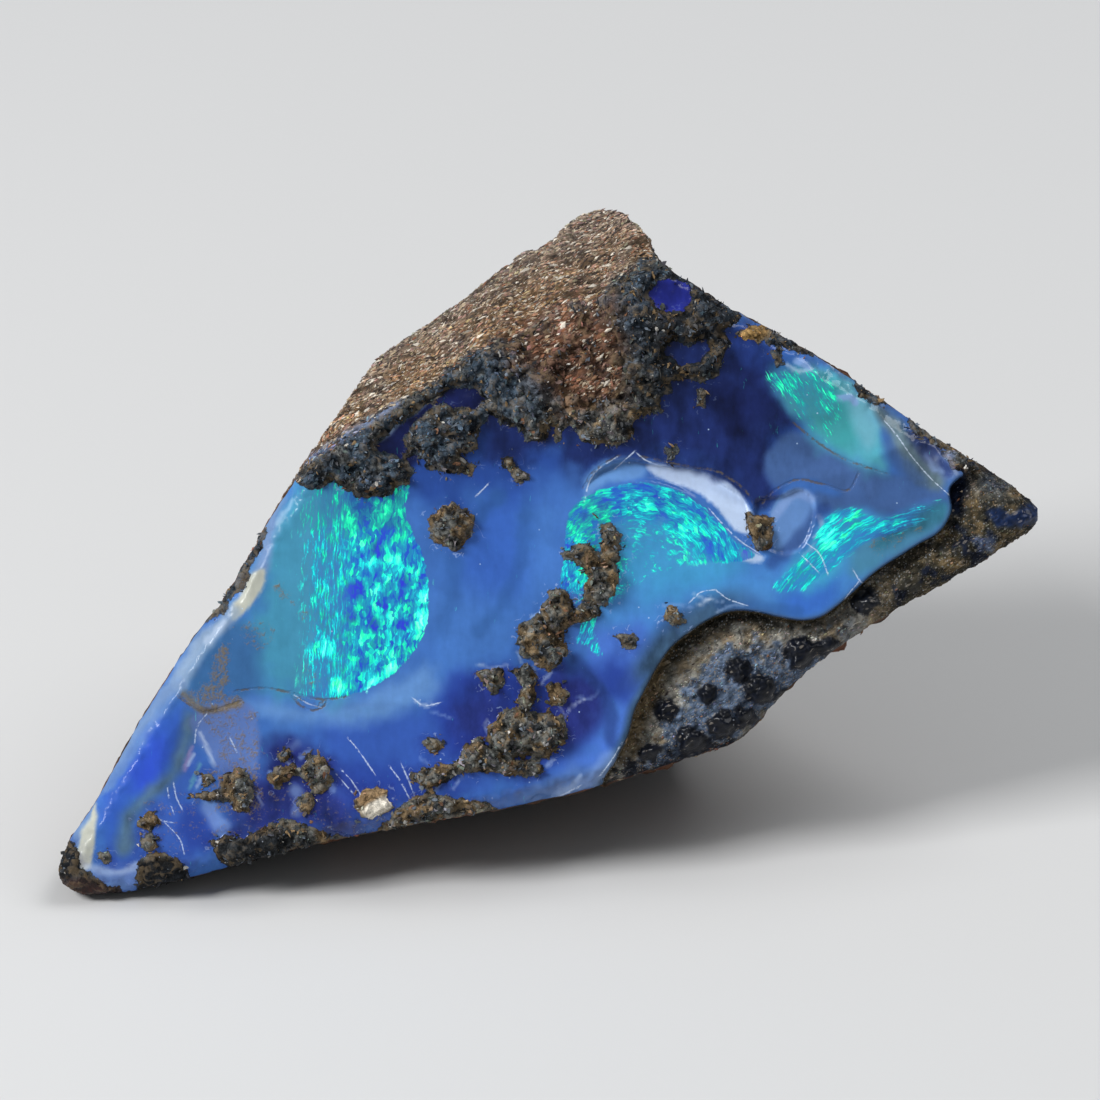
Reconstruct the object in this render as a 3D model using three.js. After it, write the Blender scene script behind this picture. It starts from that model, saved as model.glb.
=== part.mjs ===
import * as THREE from 'three';
import { mergeVertices } from 'three/addons/utils/BufferGeometryUtils.js';
import { ImprovedNoise } from 'three/addons/math/ImprovedNoise.js';

// A rough piece of boulder opal, split from the host rock and never cut or polished.
// It is one stone: a leaning face of blue opal, a sandy brown side running back from the top
// of that face, a lumpy dark crust between the two, a hollow under the opal's ledge at the
// lower right, and a broken ironstone back. It stands on one flat facet.
// Millimetres, +Z up. The opal face looks along -Y and leans back. The origin is under the
// middle of the stone, on the ground.

// Driving dimensions.
const faceLean = THREE.MathUtils.degToRad(28);
const faceCentreHeight = 20.1;
const slabDepth = 26;
const ballSplits = 33;

// The brown side falls away behind its crest: sharply at the left, round a wide bend from
// bendFrom to bendTo and on to the right.
const brownSide = { slope: 2.06, edgeRound: 0.5, bendRound: 3.2, bendFrom: -5, bendTo: -1 };
const brownSurface = { fadeIn: 1.5, lumpWide: 2, lumpHigh: 1.1, rough: 0.5 };
const crust = { height: 0.75, rough: 0.5, edge: 0.7, cragSize: 1.25, knobSize: 0.6, knobShare: 0.6 };
// The hollow under the opal's ledge is deepest at the ledge, and shallower from x = 16 to 24.
const hollow = { drop: 1.7, tipDrop: 0.85, tipFrom: 16, tipTo: 24, rise: 0.16, least: 0.4 };
const ledge = { wall: 0.12, reach: 1.3 };
const hollowRough = 0.35;
const rim = { drop: 1.5, width: 1.6 };
// The chipped lip slopes down to a line that falls to the right.
const lip = { depth: 0.6, lineX: 6, lineY: 5.2, fall: 0.24, above: 0.2, below: 1.6 };
const slateDepth = 0.3;
const faceSwell = { height: 0.35, size: 8.3 };
const lumpEdge = { size: 0.9, rough: 0.3 };
const backRough = { height: 1.1, size: 4.5, knobSize: 1.8, knobShare: 0.5, fadeIn: 0.3 };

// Outlines on the opal face: x to the right and y up the face, from its centre.
const stoneOutline = [
  [-30.8, -20.3], [-30.4, -18.8], [-28.4, -15.6], [-25.6, -10.6], [-22.2, -5.3], [-20.5, -3.1],
  [-18.0, 1.2], [-15.6, 5.0], [-13.8, 7.8], [-11.6, 11.2], [-10.6, 12.5], [-9.4, 13.2],
  [-5.6, 15.9], [-3.1, 17.9], [-0.3, 19.4], [1.2, 20.8], [3.3, 21.7], [4.4, 21.5], [5.8, 20.1],
  [6.9, 18.2], [10.6, 15.6], [15.6, 12.8], [18.8, 10.8], [24.4, 6.9], [29.4, 3.8], [30.8, 2.2],
  [30.3, 1.4], [26.9, -0.9], [20.6, -4.5], [15.6, -8.1], [11.9, -11.9], [9.4, -12.9],
  [1.9, -15.1], [-5.0, -16.6], [-13.1, -18.1], [-19.4, -19.7], [-25.8, -21.3], [-28.9, -21.6],
  [-30.3, -21.2],
];
const brownCrest = [
  [-18.0, 2.4], [-15.6, 4.7], [-14.4, 5.9], [-12.8, 7.2], [-9.4, 9.4], [-5.6, 11.6],
  [-3.0, 13.5], [0.6, 15.2], [3.6, 16.6], [6.4, 18.2], [7.4, 18.8], [9.0, 22.0],
];
const crustPatch = [
  [-15.4, 4.4], [-12.5, 3.4], [-10.0, 3.4], [-8.8, 5.0], [-5.0, 5.0], [-4.4, 8.8], [-3.1, 8.1],
  [-1.9, 6.9], [0.6, 7.8], [3.1, 6.7], [4.7, 6.9], [5.3, 8.1], [6.9, 9.7], [9.4, 9.5],
  [10.6, 12.8], [12.4, 15.0], [8.1, 18.4], [4.4, 17.2], [3.1, 15.0], [0.6, 13.6], [-3.8, 13.2],
  [-9.4, 9.9], [-12.8, 7.6], [-15.4, 5.4],
];
const hollowPatch = [
  [25.0, 3.8], [25.1, 2.5], [24.4, 1.2], [20.3, -1.4], [18.1, -3.4], [16.9, -4.2], [15.6, -4.4],
  [13.1, -3.9], [11.6, -3.8], [8.8, -5.1], [6.6, -7.5], [5.3, -10.0], [4.1, -13.1], [3.0, -16.0],
  [12.0, -14.0], [22.0, -6.0], [33.0, 0.0], [33.0, 3.5], [28.0, 6.0],
];
const chippedLip = [
  [2.0, 2.8], [2.6, 4.6], [4.2, 5.6], [6.2, 5.5], [9.4, 5.0], [10.9, 4.1], [12.4, 2.9],
  [11.7, 0.8], [10.3, 2.2], [8.8, 3.4], [6.2, 4.3], [3.8, 3.9],
];
const slateChip = [
  [12.8, 3.1], [14.4, 3.4], [15.6, 3.9], [16.4, 3.3], [16.6, 2.2], [15.6, 0.0], [13.6, 0.0],
];

// Lumps of ironstone crust: x, y, half width, half height and how far each stands up.
const crustLumps = [
  [-6.1, 1.6, 1.5, 1.4, 0.9], [-2.6, 5.3, 0.8, 0.6, 0.4], [7.7, -4.2, 0.7, 0.7, 0.5],
  [4.9, -5.6, 0.7, 0.7, 0.4], [12.9, 1.4, 0.9, 1.1, 0.8], [3.9, 0.6, 0.8, 1.1, 0.6],
  [2.7, -1.6, 1.8, 1.9, 1.1], [0.6, -3.6, 1.7, 1.2, 0.9], [-0.6, -5.6, 1.5, 1.6, 1.0],
  [-2.8, -8.1, 1.9, 0.9, 0.5], [-1.9, -11.6, 2.2, 2.4, 1.1], [-4.4, -13.1, 1.8, 1.2, 0.8],
  [-7.5, -14.1, 0.9, 0.6, 0.4], [-6.9, -16.1, 2.3, 0.9, 0.7], [-11.1, -15.8, 1.1, 1.0, 0.8],
  [-19.5, -14.9, 1.2, 1.2, 0.8], [-14.8, -13.9, 1.0, 1.0, 0.6], [-25.0, -16.9, 0.7, 0.6, 0.3],
  [-24.2, -20.0, 1.5, 1.2, 0.6], [-17.8, -18.3, 3.2, 1.3, 0.9], [-11.5, -17.4, 3.0, 0.8, 0.7],
  [-11.9, 4.8, 2.8, 1.5, 0.7], [-5.4, 8.0, 1.6, 1.4, 0.7], [-1.4, 9.8, 2.0, 1.3, 0.6],
  [3.0, 9.6, 2.2, 1.8, 0.7], [8.4, 12.2, 1.8, 1.7, 0.7], [28.6, 2.3, 1.9, 1.2, 0.6],
];
// Pits and shallow conchoidal scoops: x, y, half width, half height and depth.
const scoops = [
  [-6.3, 9.9, 1.6, 0.8, 0.7], [7.4, 15.8, 1.6, 1.1, 0.8], [-21.2, -13.8, 3.2, 3.8, 0.6],
  [-12.0, -12.5, 6.0, 3.4, 0.35], [16.5, 6.4, 3.4, 2.0, 0.35], [22.5, 4.6, 2.6, 2.2, 0.4],
  [-12.5, -3.0, 6.2, 7.6, 0.35], [8.5, -0.8, 6.6, 4.6, 0.3], [20.5, 8.0, 3.0, 2.2, 0.3],
  [-2.0, 1.5, 4.6, 6.0, 0.25], [13.5, -8.2, 2.6, 2.0, 0.5],
];
// The back, from the rim to its middle: share of the outline and share of the depth.
const backProfile = [
  [1, 0], [0.985, 0.13], [0.94, 0.42], [0.84, 0.68], [0.66, 0.86], [0.36, 0.97], [0, 1],
];
// Broken facets of the back: the way that each looks, and how far out it lies.
const backFacets = [
  { looks: [0.15, 1, 0.3], out: 28.1 },
  { looks: [-0.75, 1, 0.1], out: 20.5 },
  { looks: [0.9, 1, 0.25], out: 25.8 },
  { looks: [0.9, 0.35, -0.7], out: 9 },
  { looks: [-0.1, 1, -0.55], out: 16.5 },
];
const facetFadeIn = 0.2;

const faceCentre = new THREE.Vector2(0, -2);
const backCentre = new THREE.Vector2(-1, -4);
const stoneMiddle = new THREE.Vector3(0, 7, 15);
const groundward = new THREE.Vector3(0, 0, -1);
const noise = new ImprovedNoise();

const toVectors = (points) => points.map(([x, y]) => new THREE.Vector2(x, y));
const smooth = (value, from, to) => THREE.MathUtils.smoothstep(value, from, to);
const bumps = (x, y, size, layer) => noise.noise(x / size, y / size, layer);

// Distance to a closed outline, positive inside it.
function makeOutlineDistance(points) {
  const corners = toVectors(points);
  const edge = new THREE.Vector2();
  const reach = new THREE.Vector2();
  return (x, y) => {
    let nearest = Infinity;
    let inside = false;
    corners.forEach((a, index) => {
      const b = corners[(index + 1) % corners.length];
      edge.subVectors(b, a);
      reach.set(x - a.x, y - a.y);
      const along = THREE.MathUtils.clamp(reach.dot(edge) / edge.lengthSq(), 0, 1);
      nearest = Math.min(nearest, reach.addScaledVector(edge, -along).length());
      if ((a.y > y) !== (b.y > y) && x < a.x + ((y - a.y) / (b.y - a.y)) * (b.x - a.x)) {
        inside = !inside;
      }
    });
    return inside ? nearest : -nearest;
  };
}

// Height of a line of points at x, straight between them.
function heightOfLine(points, x) {
  const next = points.findIndex((point) => point[0] > x);
  if (next === -1) return points[points.length - 1][1];
  if (next === 0) return points[0][1];
  const [x0, y0] = points[next - 1];
  const [x1, y1] = points[next];
  return THREE.MathUtils.mapLinear(x, x0, x1, y0, y1);
}

// Zero before the bend, a straight slope past it, and a round bend between.
function bend(distance, round) {
  if (distance < -round) return 0;
  if (distance > round) return distance;
  return (distance + round) ** 2 / (4 * round);
}

const insideStone = makeOutlineDistance(stoneOutline);
const insideCrust = makeOutlineDistance(crustPatch);
const insideHollow = makeOutlineDistance(hollowPatch);
const insideLip = makeOutlineDistance(chippedLip);
const insideSlate = makeOutlineDistance(slateChip);

function lumpHeight(x, y) {
  let height = 0;
  for (const [lumpX, lumpY, halfWidth, halfHeight, standing] of crustLumps) {
    const ragged = 1 + lumpEdge.rough * bumps(x, y, lumpEdge.size, lumpX);
    const away = Math.hypot((x - lumpX) / halfWidth, (y - lumpY) / halfHeight) * ragged;
    if (away < 1) height = Math.max(height, standing * Math.sqrt(1 - away * away));
  }
  return height;
}

function scoopDepth(x, y) {
  let depth = 0;
  for (const [scoopX, scoopY, halfWidth, halfHeight, deep] of scoops) {
    const away = Math.hypot((x - scoopX) / halfWidth, (y - scoopY) / halfHeight);
    if (away < 1) depth = Math.max(depth, deep * (1 - away * away));
  }
  return depth;
}

function lipDepth(x, y) {
  const line = lip.lineY - lip.fall * Math.max(x - lip.lineX, 0);
  return insideLip(x, y) > 0 ? lip.depth * smooth(y - line, -lip.below, lip.above) : 0;
}

function hollowFloor(x, intoHollow, crags) {
  const drop = THREE.MathUtils.lerp(hollow.drop, hollow.tipDrop, smooth(x, hollow.tipFrom, hollow.tipTo));
  const floor = drop - hollow.rise * Math.max(intoHollow, 0) + hollowRough * crags;
  return Math.max(floor, hollow.least);
}

// The front of the stone, seen square to the opal face: how far each point stands out of it.
function frontHeight(x, y) {
  const aboveCrest = y - heightOfLine(brownCrest, x);
  const toBend = smooth(x, brownSide.bendFrom, brownSide.bendTo);
  const round = THREE.MathUtils.lerp(brownSide.edgeRound, brownSide.bendRound, toBend);
  const onBrown = smooth(aboveCrest, 0, brownSurface.fadeIn);
  const onFace = 1 - onBrown;
  const crags = bumps(x, y, crust.cragSize, 2.5) + crust.knobShare * bumps(x, y, crust.knobSize, 7.5);
  const onCrust = smooth(insideCrust(x, y), 0, crust.edge) * onFace;
  const intoHollow = insideHollow(x, y);
  const inHollow = smooth(intoHollow, -ledge.wall, ledge.wall);

  let height = -brownSide.slope * bend(aboveCrest, round);
  height += onBrown * brownSurface.rough
    * noise.noise(x / brownSurface.lumpWide, y / brownSurface.lumpHigh, 9.5);
  height += onFace * faceSwell.height * bumps(x, y, faceSwell.size, 4.5);
  height += onCrust * (crust.height + crust.rough * crags);
  height += lumpHeight(x, y);
  height -= onFace * rim.drop * (1 - smooth(insideStone(x, y), 0, rim.width));
  height -= scoopDepth(x, y);
  height -= lipDepth(x, y);
  height -= inHollow * hollowFloor(x, intoHollow, crags);
  if (insideSlate(x, y) > 0) height -= slateDepth;
  return height;
}

// From the face's own axes to the standing stone.
function stand(x, y, height) {
  return new THREE.Vector3(
    x,
    y * Math.sin(faceLean) - height * Math.cos(faceLean),
    faceCentreHeight + y * Math.cos(faceLean) + height * Math.sin(faceLean),
  );
}

// Draws points near the ledge up to its line, so that its wall stays steep.
function drawToLedge(place) {
  const step = 0.01;
  const inside = insideHollow(place.x, place.y);
  if (Math.abs(inside) >= ledge.reach) return;
  const slopeX = (insideHollow(place.x + step, place.y) - inside) / step;
  const slopeY = (insideHollow(place.x, place.y + step) - inside) / step;
  const share = Math.abs(inside) / ledge.reach;
  const drawn = ledge.wall + (ledge.reach - ledge.wall) * share ** 6;
  const shift = Math.sign(inside) * drawn - inside;
  place.x += slopeX * shift;
  place.y += slopeY * shift;
}

// Draws a point that lies past a facet back to it, straight towards the stone's middle.
function drawInside(point, looks, out, share) {
  const over = point.dot(looks) - out;
  if (over <= 0) return;
  const reach = point.dot(looks) - stoneMiddle.dot(looks);
  point.lerp(stoneMiddle, (over / reach) * share);
}

const outlineCurve = new THREE.CatmullRomCurve3(
  stoneOutline.map(([x, y]) => new THREE.Vector3(x, y, 0)), true, 'centripetal');
outlineCurve.arcLengthDivisions = 1200;
const profileCurve = new THREE.SplineCurve(toVectors(backProfile));

// A front point: the share runs from 0 at the face's centre to 1 on the outline.
function frontPoint(edge, share) {
  const place = faceCentre.clone().lerp(edge, share);
  if (share < 1) drawToLedge(place);
  return stand(place.x, place.y, frontHeight(place.x, place.y));
}

// A back point: the outline drawn in and sunk along the profile, then cut by the facets.
function backPoint(edge, share) {
  const profile = profileCurve.getPointAt(1 - share);
  const place = backCentre.clone().lerp(edge, profile.x);
  const edgeHeight = frontHeight(edge.x, edge.y);
  const point = stand(place.x, place.y, THREE.MathUtils.lerp(edgeHeight, -slabDepth, profile.y));
  for (const { looks, out } of backFacets) {
    const cut = smooth(profile.y, 0, facetFadeIn);
    drawInside(point, new THREE.Vector3(...looks).normalize(), out, cut);
  }
  const broad = point.clone().divideScalar(backRough.size);
  const fine = point.clone().divideScalar(backRough.knobSize);
  const rough = noise.noise(broad.x, broad.y, broad.z)
    + backRough.knobShare * noise.noise(fine.x, fine.y, fine.z);
  const outwards = point.clone().sub(stoneMiddle).normalize();
  point.addScaledVector(outwards, backRough.height * rough * smooth(profile.y, 0, backRough.fadeIn));
  drawInside(point, groundward, 0, 1);
  return point;
}

// The stone is a finely split ball whose equator is drawn out to the outline: the half that
// looks up becomes the front, and the other half the back.
function makeStoneGeometry() {
  const ball = new THREE.OctahedronGeometry(1, ballSplits);
  ball.deleteAttribute('normal');
  ball.deleteAttribute('uv');
  const stone = mergeVertices(ball, 1e-5);
  const places = stone.getAttribute('position');
  const onBall = new THREE.Vector3();
  for (let index = 0; index < places.count; index += 1) {
    onBall.fromBufferAttribute(places, index);
    const turn = Math.atan2(onBall.y, onBall.x) / (2 * Math.PI);
    const { x, y } = outlineCurve.getPointAt((turn + 1) % 1);
    const edge = new THREE.Vector2(x, y);
    const share = Math.sqrt(1 - Math.min(Math.abs(onBall.z), 1));
    const point = onBall.z < -1e-6 ? backPoint(edge, share) : frontPoint(edge, share);
    places.setXYZ(index, point.x, point.y, point.z);
  }
  // The outline runs clockwise seen from the front, so each face is turned to look outwards.
  const corners = stone.getIndex();
  for (let index = 0; index < corners.count; index += 3) {
    const second = corners.getX(index + 1);
    corners.setX(index + 1, corners.getX(index + 2));
    corners.setX(index + 2, second);
  }
  stone.computeBoundingBox();
  const middle = stone.boundingBox.getCenter(new THREE.Vector3());
  stone.translate(-middle.x, -middle.y, -stone.boundingBox.min.z);
  stone.computeVertexNormals();
  return stone;
}

const opalStone = new THREE.MeshStandardMaterial({ color: 0x2f5fb5, roughness: 0.35, metalness: 0 });

const group = new THREE.Group();
const boulderOpal = new THREE.Mesh(makeStoneGeometry(), opalStone);
boulderOpal.name = 'boulder_opal';
group.add(boulderOpal);

export default group;
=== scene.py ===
# Rough boulder opal: one stone skin with its opal face, crust and ironstone, and the loose grit on it.
import itertools
import math

import bpy
import numpy as np
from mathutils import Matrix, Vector
from mathutils.bvhtree import BVHTree
from mathutils.geometry import delaunay_2d_cdt


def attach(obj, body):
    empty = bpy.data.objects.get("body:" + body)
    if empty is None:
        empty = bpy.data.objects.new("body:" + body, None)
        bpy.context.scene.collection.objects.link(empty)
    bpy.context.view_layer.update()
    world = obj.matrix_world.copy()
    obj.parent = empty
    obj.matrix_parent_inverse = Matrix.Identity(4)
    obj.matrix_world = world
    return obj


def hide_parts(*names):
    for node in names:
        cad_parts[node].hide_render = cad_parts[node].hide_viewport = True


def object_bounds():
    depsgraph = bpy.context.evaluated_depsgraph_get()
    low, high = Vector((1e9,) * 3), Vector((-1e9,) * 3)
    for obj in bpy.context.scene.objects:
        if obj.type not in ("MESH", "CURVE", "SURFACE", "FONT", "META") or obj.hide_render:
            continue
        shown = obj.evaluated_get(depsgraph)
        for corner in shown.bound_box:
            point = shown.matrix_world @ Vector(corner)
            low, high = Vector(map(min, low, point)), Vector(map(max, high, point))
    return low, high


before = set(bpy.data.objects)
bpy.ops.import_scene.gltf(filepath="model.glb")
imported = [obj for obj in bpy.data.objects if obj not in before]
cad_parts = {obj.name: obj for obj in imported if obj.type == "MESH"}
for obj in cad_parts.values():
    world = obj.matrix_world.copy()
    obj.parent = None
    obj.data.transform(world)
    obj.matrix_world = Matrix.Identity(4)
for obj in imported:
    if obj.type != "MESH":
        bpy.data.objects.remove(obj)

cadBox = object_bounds()
nodeName = "boulder_opal"

# Places on the stone are worked out in millimetres on the opal face: x to the right,
# y up the face and height out of it. The face leans back and stands on the ground.
face = {
    "lean": math.radians(28),
    "centreHeight": 20.1,
    "shiftX": 0.11188,
    "shiftY": -8.03223,
}
millimetre = 0.001


def standUp(places):
    # from the face's own axes to the standing stone, both in millimetres
    x, y, height = places.T
    along = math.sin(face["lean"])
    across = math.cos(face["lean"])
    return np.stack([
        x + face["shiftX"],
        y * along - height * across + face["shiftY"],
        face["centreHeight"] + y * across + height * along,
    ], 1)


def layDown(points):
    # the way back, from the standing stone to the face's own axes
    x, y, z = points.T
    along = math.sin(face["lean"])
    across = math.cos(face["lean"])
    y = y - face["shiftY"]
    z = z - face["centreHeight"]
    return np.stack([x - face["shiftX"], y * along + z * across, z * along - y * across], 1)


# Random fields, the same on every run.
def scramble(cells, layer):
    # one number from 0 to 1 for each whole-numbered cell
    mixed = cells[:, 0] * 73856093 ^ cells[:, 1] * 19349663 ^ cells[:, 2] * 83492791 ^ layer * 2971215073
    mixed = (mixed & 0xFFFFFFFF) * 668265263
    mixed = ((mixed ^ (mixed >> 15)) & 0xFFFFFFFF) * 374761393
    mixed = (mixed ^ (mixed >> 13)) & 0xFFFFFFFF
    return (mixed & 0xFFFFFF) / 0x1000000


def noiseAt(places, size, layer=0):
    # smooth lumps of that size in millimetres, from about -1 to 1
    spots = places / size + 31.7 * layer
    cells = np.floor(spots).astype(np.int64)
    parts = spots - cells
    ease = parts * parts * parts * (parts * (parts * 6 - 15) + 10)
    total = np.zeros(len(places))
    for corner in itertools.product((0, 1), repeat=3):
        step = np.array(corner)
        weight = np.prod(np.where(step == 1, ease, 1 - ease), axis=1)
        pull = np.zeros(len(places))
        for axis in range(3):
            lean = scramble(cells + step, layer * 3 + axis) * 2 - 1
            pull += (parts[:, axis] - step[axis]) * lean
        total += weight * pull
    return total * 1.7


def roughAt(places, size, layer=0, steps=3, fall=0.5):
    total = np.zeros(len(places))
    for step in range(steps):
        total += fall ** step * noiseAt(places, size * 0.5 ** step, layer + step)
    return total


def mottled(places, *layers):
    # noises laid over each other, each with its size, its layer and its weight
    return sum(weight * noiseAt(places, size, layer) for size, layer, weight in layers)


def crumbsAt(places, size, layer=0):
    # distance to the nearest crumb's middle, in crumb sizes
    spots = places / size
    cells = np.floor(spots).astype(np.int64)
    nearest = np.full(len(places), 9.0)
    for corner in itertools.product((-1, 0, 1), repeat=3):
        cell = cells + np.array(corner)
        away = np.zeros(len(places))
        for axis in range(3):
            middle = cell[:, axis] + scramble(cell, layer * 5 + axis)
            away += (spots[:, axis] - middle) ** 2
        nearest = np.minimum(nearest, np.sqrt(away))
    return nearest


def smooth(value, low, high):
    # 0 below low, 1 above high, and an even rise between
    share = np.clip((value - low) / (high - low), 0, 1)
    return share * share * (3 - 2 * share)


def onPlane(x, y):
    return np.stack([x, y, np.zeros_like(x)], 1)


def insideOf(outline, x, y, reach=3.0):
    # distance to a closed outline in millimetres, positive inside it
    corners = np.array(outline, dtype=float)
    low = corners.min(0) - reach
    high = corners.max(0) + reach
    near = (x > low[0]) & (x < high[0]) & (y > low[1]) & (y < high[1])
    nearX = x[near]
    nearY = y[near]
    nearest = np.full(len(nearX), 1e6)
    inside = np.zeros(len(nearX), dtype=bool)
    for (ax, ay), (bx, by) in zip(corners, np.roll(corners, -1, 0)):
        share = ((nearX - ax) * (bx - ax) + (nearY - ay) * (by - ay)) / ((bx - ax) ** 2 + (by - ay) ** 2)
        share = np.clip(share, 0, 1)
        away = np.hypot(nearX - ax - share * (bx - ax), nearY - ay - share * (by - ay))
        nearest = np.minimum(nearest, away)
        if ay != by:
            crosses = (ay > nearY) != (by > nearY)
            inside ^= crosses & (nearX < ax + (nearY - ay) / (by - ay) * (bx - ax))
    result = np.full(len(x), -float(reach))
    result[near] = np.maximum(np.where(inside, nearest, -nearest), -reach)
    return result


def acrossLine(points, x, y):
    # signed distance across an open line, and the plain distance to it
    signed = np.full(len(x), 9.0)
    nearest = np.full(len(x), 9.0)
    for (ax, ay), (bx, by) in zip(points, points[1:]):
        length = math.hypot(bx - ax, by - ay)
        share = np.clip(((x - ax) * (bx - ax) + (y - ay) * (by - ay)) / length ** 2, 0, 1)
        away = np.hypot(x - ax - share * (bx - ax), y - ay - share * (by - ay))
        side = ((x - ax) * (by - ay) - (y - ay) * (bx - ax)) / length
        closer = away < nearest
        signed = np.where(closer, side, signed)
        nearest = np.where(closer, away, nearest)
    return signed, nearest


def smoothClosedLine(points, stepsEach=60):
    # a centripetal curve through the points, as the stone's own outline runs
    points = np.array(points, dtype=float)
    places = []
    share = np.linspace(0, 1, stepsEach, endpoint=False)[:, None]
    for index in range(len(points)):
        around = [points[(index + step) % len(points)] for step in (-1, 0, 1, 2)]
        first, middle, last = (max(math.sqrt(math.dist(a, b)), 1e-4) for a, b in zip(around, around[1:]))
        before, start, end, after = around
        leaving = (start - before) / first - (end - before) / (first + middle) + (end - start) / middle
        reaching = (end - start) / middle - (after - start) / (middle + last) + (after - end) / last
        leaving *= middle
        reaching *= middle
        places.append(start + leaving * share
                      + (3 * (end - start) - 2 * leaving - reaching) * share ** 2
                      + (2 * (start - end) + leaving + reaching) * share ** 3)
    return np.concatenate(places)


def evenly(line, spacing):
    # points at equal steps along a closed line
    closed = np.vstack([line, line[:1]])
    along = np.concatenate([[0], np.cumsum(np.hypot(*np.diff(closed, axis=0).T))])
    count = round(along[-1] / spacing)
    marks = np.linspace(0, along[-1], count, endpoint=False)
    return np.stack([np.interp(marks, along, closed[:, axis]) for axis in range(2)], 1)


def path(*numbers):
    # places on the opal face: x and y of the first, of the second and so on
    return np.array(numbers, dtype=float).reshape(-1, 2)


# The stone's outline on its opal face, clockwise from the left tip.
stoneOutline = path(
    -30.8, -20.3, -30.4, -18.8, -28.4, -15.6, -25.6, -10.6, -22.2, -5.3, -20.5, -3.1, -18, 1.2, -15.6, 5,
    -13.8, 7.8, -11.6, 11.2, -10.6, 12.5, -9.4, 13.2, -5.6, 15.9, -3.1, 17.9, -0.3, 19.4, 1.2, 20.8,
    3.3, 21.7, 4.4, 21.5, 5.8, 20.1, 6.9, 18.2, 10.6, 15.6, 15.6, 12.8, 18.8, 10.8, 24.4, 6.9, 29.4, 3.8,
    30.8, 2.2, 30.3, 1.4, 26.9, -0.9, 20.6, -4.5, 15.6, -8.1, 11.9, -11.9, 9.4, -12.9, 1.9, -15.1,
    -5, -16.6, -13.1, -18.1, -19.4, -19.7, -25.8, -21.3, -28.9, -21.6, -30.3, -21.2,
)
# Where the face bends back into the brown side.
brownCrest = path(
    -18, 2.4, -15.6, 4.7, -14.4, 5.9, -12.8, 7.2, -9.4, 9.4, -5.6, 11.6, -3, 13.5, 0.6, 15.2, 3.6, 16.6,
    6.4, 18.2, 7.4, 18.8, 9, 22,
)
# The dark crust between opal and brown side, and the opal that shows through it.
crustOutline = path(
    -15.6, 5, -15.4, 4.2, -14.4, 3.9, -13.4, 4.3, -12.8, 3.9, -11.9, 3.3, -10.3, 3.3, -9.7, 4, -8.9, 4.2,
    -8.5, 5, -9.1, 5.6, -8.2, 6.1, -7.6, 5.2, -6.9, 4.8, -5.9, 5, -5, 4.7, -4.8, 5.3, -5.5, 5.9, -4.6, 6.4,
    -4.5, 7.2, -4.1, 8.6, -3.2, 8.2, -2.4, 7.8, -1.6, 7.6, -1.4, 6.9, -0.8, 6.8, -0.2, 7.1, -0.1, 7.8,
    0.6, 8.1, 0.4, 6.9, 1.1, 7.9, 1.7, 7.4, 2.1, 6.8, 3, 6.5, 4.2, 6.6, 4.9, 7.1, 5.2, 7.9, 5.9, 8.5,
    6.8, 8.7, 6.8, 9.4, 7.6, 9.9, 7.4, 10.6, 8.4, 10.9, 9.4, 10.6, 10.4, 10.9, 10.8, 11.9, 11.1, 12.8,
    10.8, 13.8, 11.6, 14.2, 12.1, 15.1, 9.4, 17.4, 8.1, 18.2, 6.9, 18.9, 6.2, 18.2, 4.9, 17.4, 3.9, 16.6,
    3.1, 15.6, 3.8, 14.4, 4.2, 13.1, 4.6, 11.2, 4.4, 9.5, 3.1, 9.1, 1.2, 9.4, 0.8, 10.3, 0.4, 11.8,
    -1.2, 12, -1.9, 12.8, -3.1, 13, -4.4, 12.5, -5.6, 11.6, -7.5, 10.1, -9.4, 9.1, -11.9, 7.4, -14.4, 6,
)
opalWindows = [
    path(
        -10.8, 6.1, -10.9, 6.6, -9.6, 7.8, -7.5, 9.4, -5.9, 10.2, -4.6, 10.1, -4, 9.4, -4.6, 8.7, -5.9, 8.8,
        -6.8, 9.1, -7.7, 8.6, -8.3, 8.1, -8.6, 7.4, -9.1, 6.9, -8.9, 6.2, -9.2, 5.5, -9.9, 5.9,
    ),
    path(6.1, 16.1, 6.8, 16.9, 8, 17, 8.8, 16.5, 9, 15.6, 8.4, 14.9, 7.4, 14.7, 6.6, 15.1),
    path(7.5, 13.2, 8.8, 12.9, 9.8, 13.2, 10.2, 12.5, 9.5, 11.8, 8.2, 11.5, 7.1, 12.2),
]
brownOutline = path(
    -15.9, 4.8, -14.4, 6, -11.9, 7.5, -9.4, 9.3, -7.5, 10.2, -5.6, 11.6, -4.4, 12.5, -3.1, 13, -1.9, 12.8,
    -1.2, 12, 0.4, 11.8, 0.8, 10.3, 1.2, 9.4, 3.1, 9.1, 4.4, 9.5, 4.6, 11.2, 4.2, 13.1, 3.8, 14.4,
    3.1, 15.6, 3.9, 16.6, 4.9, 17.4, 6.2, 18.2, 7.1, 18.9, 8.8, 24.4, -1.9, 25, -16.2, 13.8, -18.1, 5,
)
hollowOutline = path(
    25, 3.8, 25.1, 2.5, 24.4, 1.2, 23.1, 0.4, 20.3, -1.4, 19.1, -2.5, 18.1, -3.4, 16.9, -4.2, 15.6, -4.4,
    14.4, -4.2, 13.1, -3.9, 11.6, -3.8, 10.3, -4.2, 8.8, -5.1, 7.5, -6.2, 6.6, -7.5, 5.9, -8.8, 5.3, -10,
    4.9, -11.6, 4.1, -13.1, 3.4, -14.4, 3, -16, 12, -14, 22, -6, 33, 0, 33, 3.5, 28, 6, 26.6, 5.1,
    25.6, 4.5,
)
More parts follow.
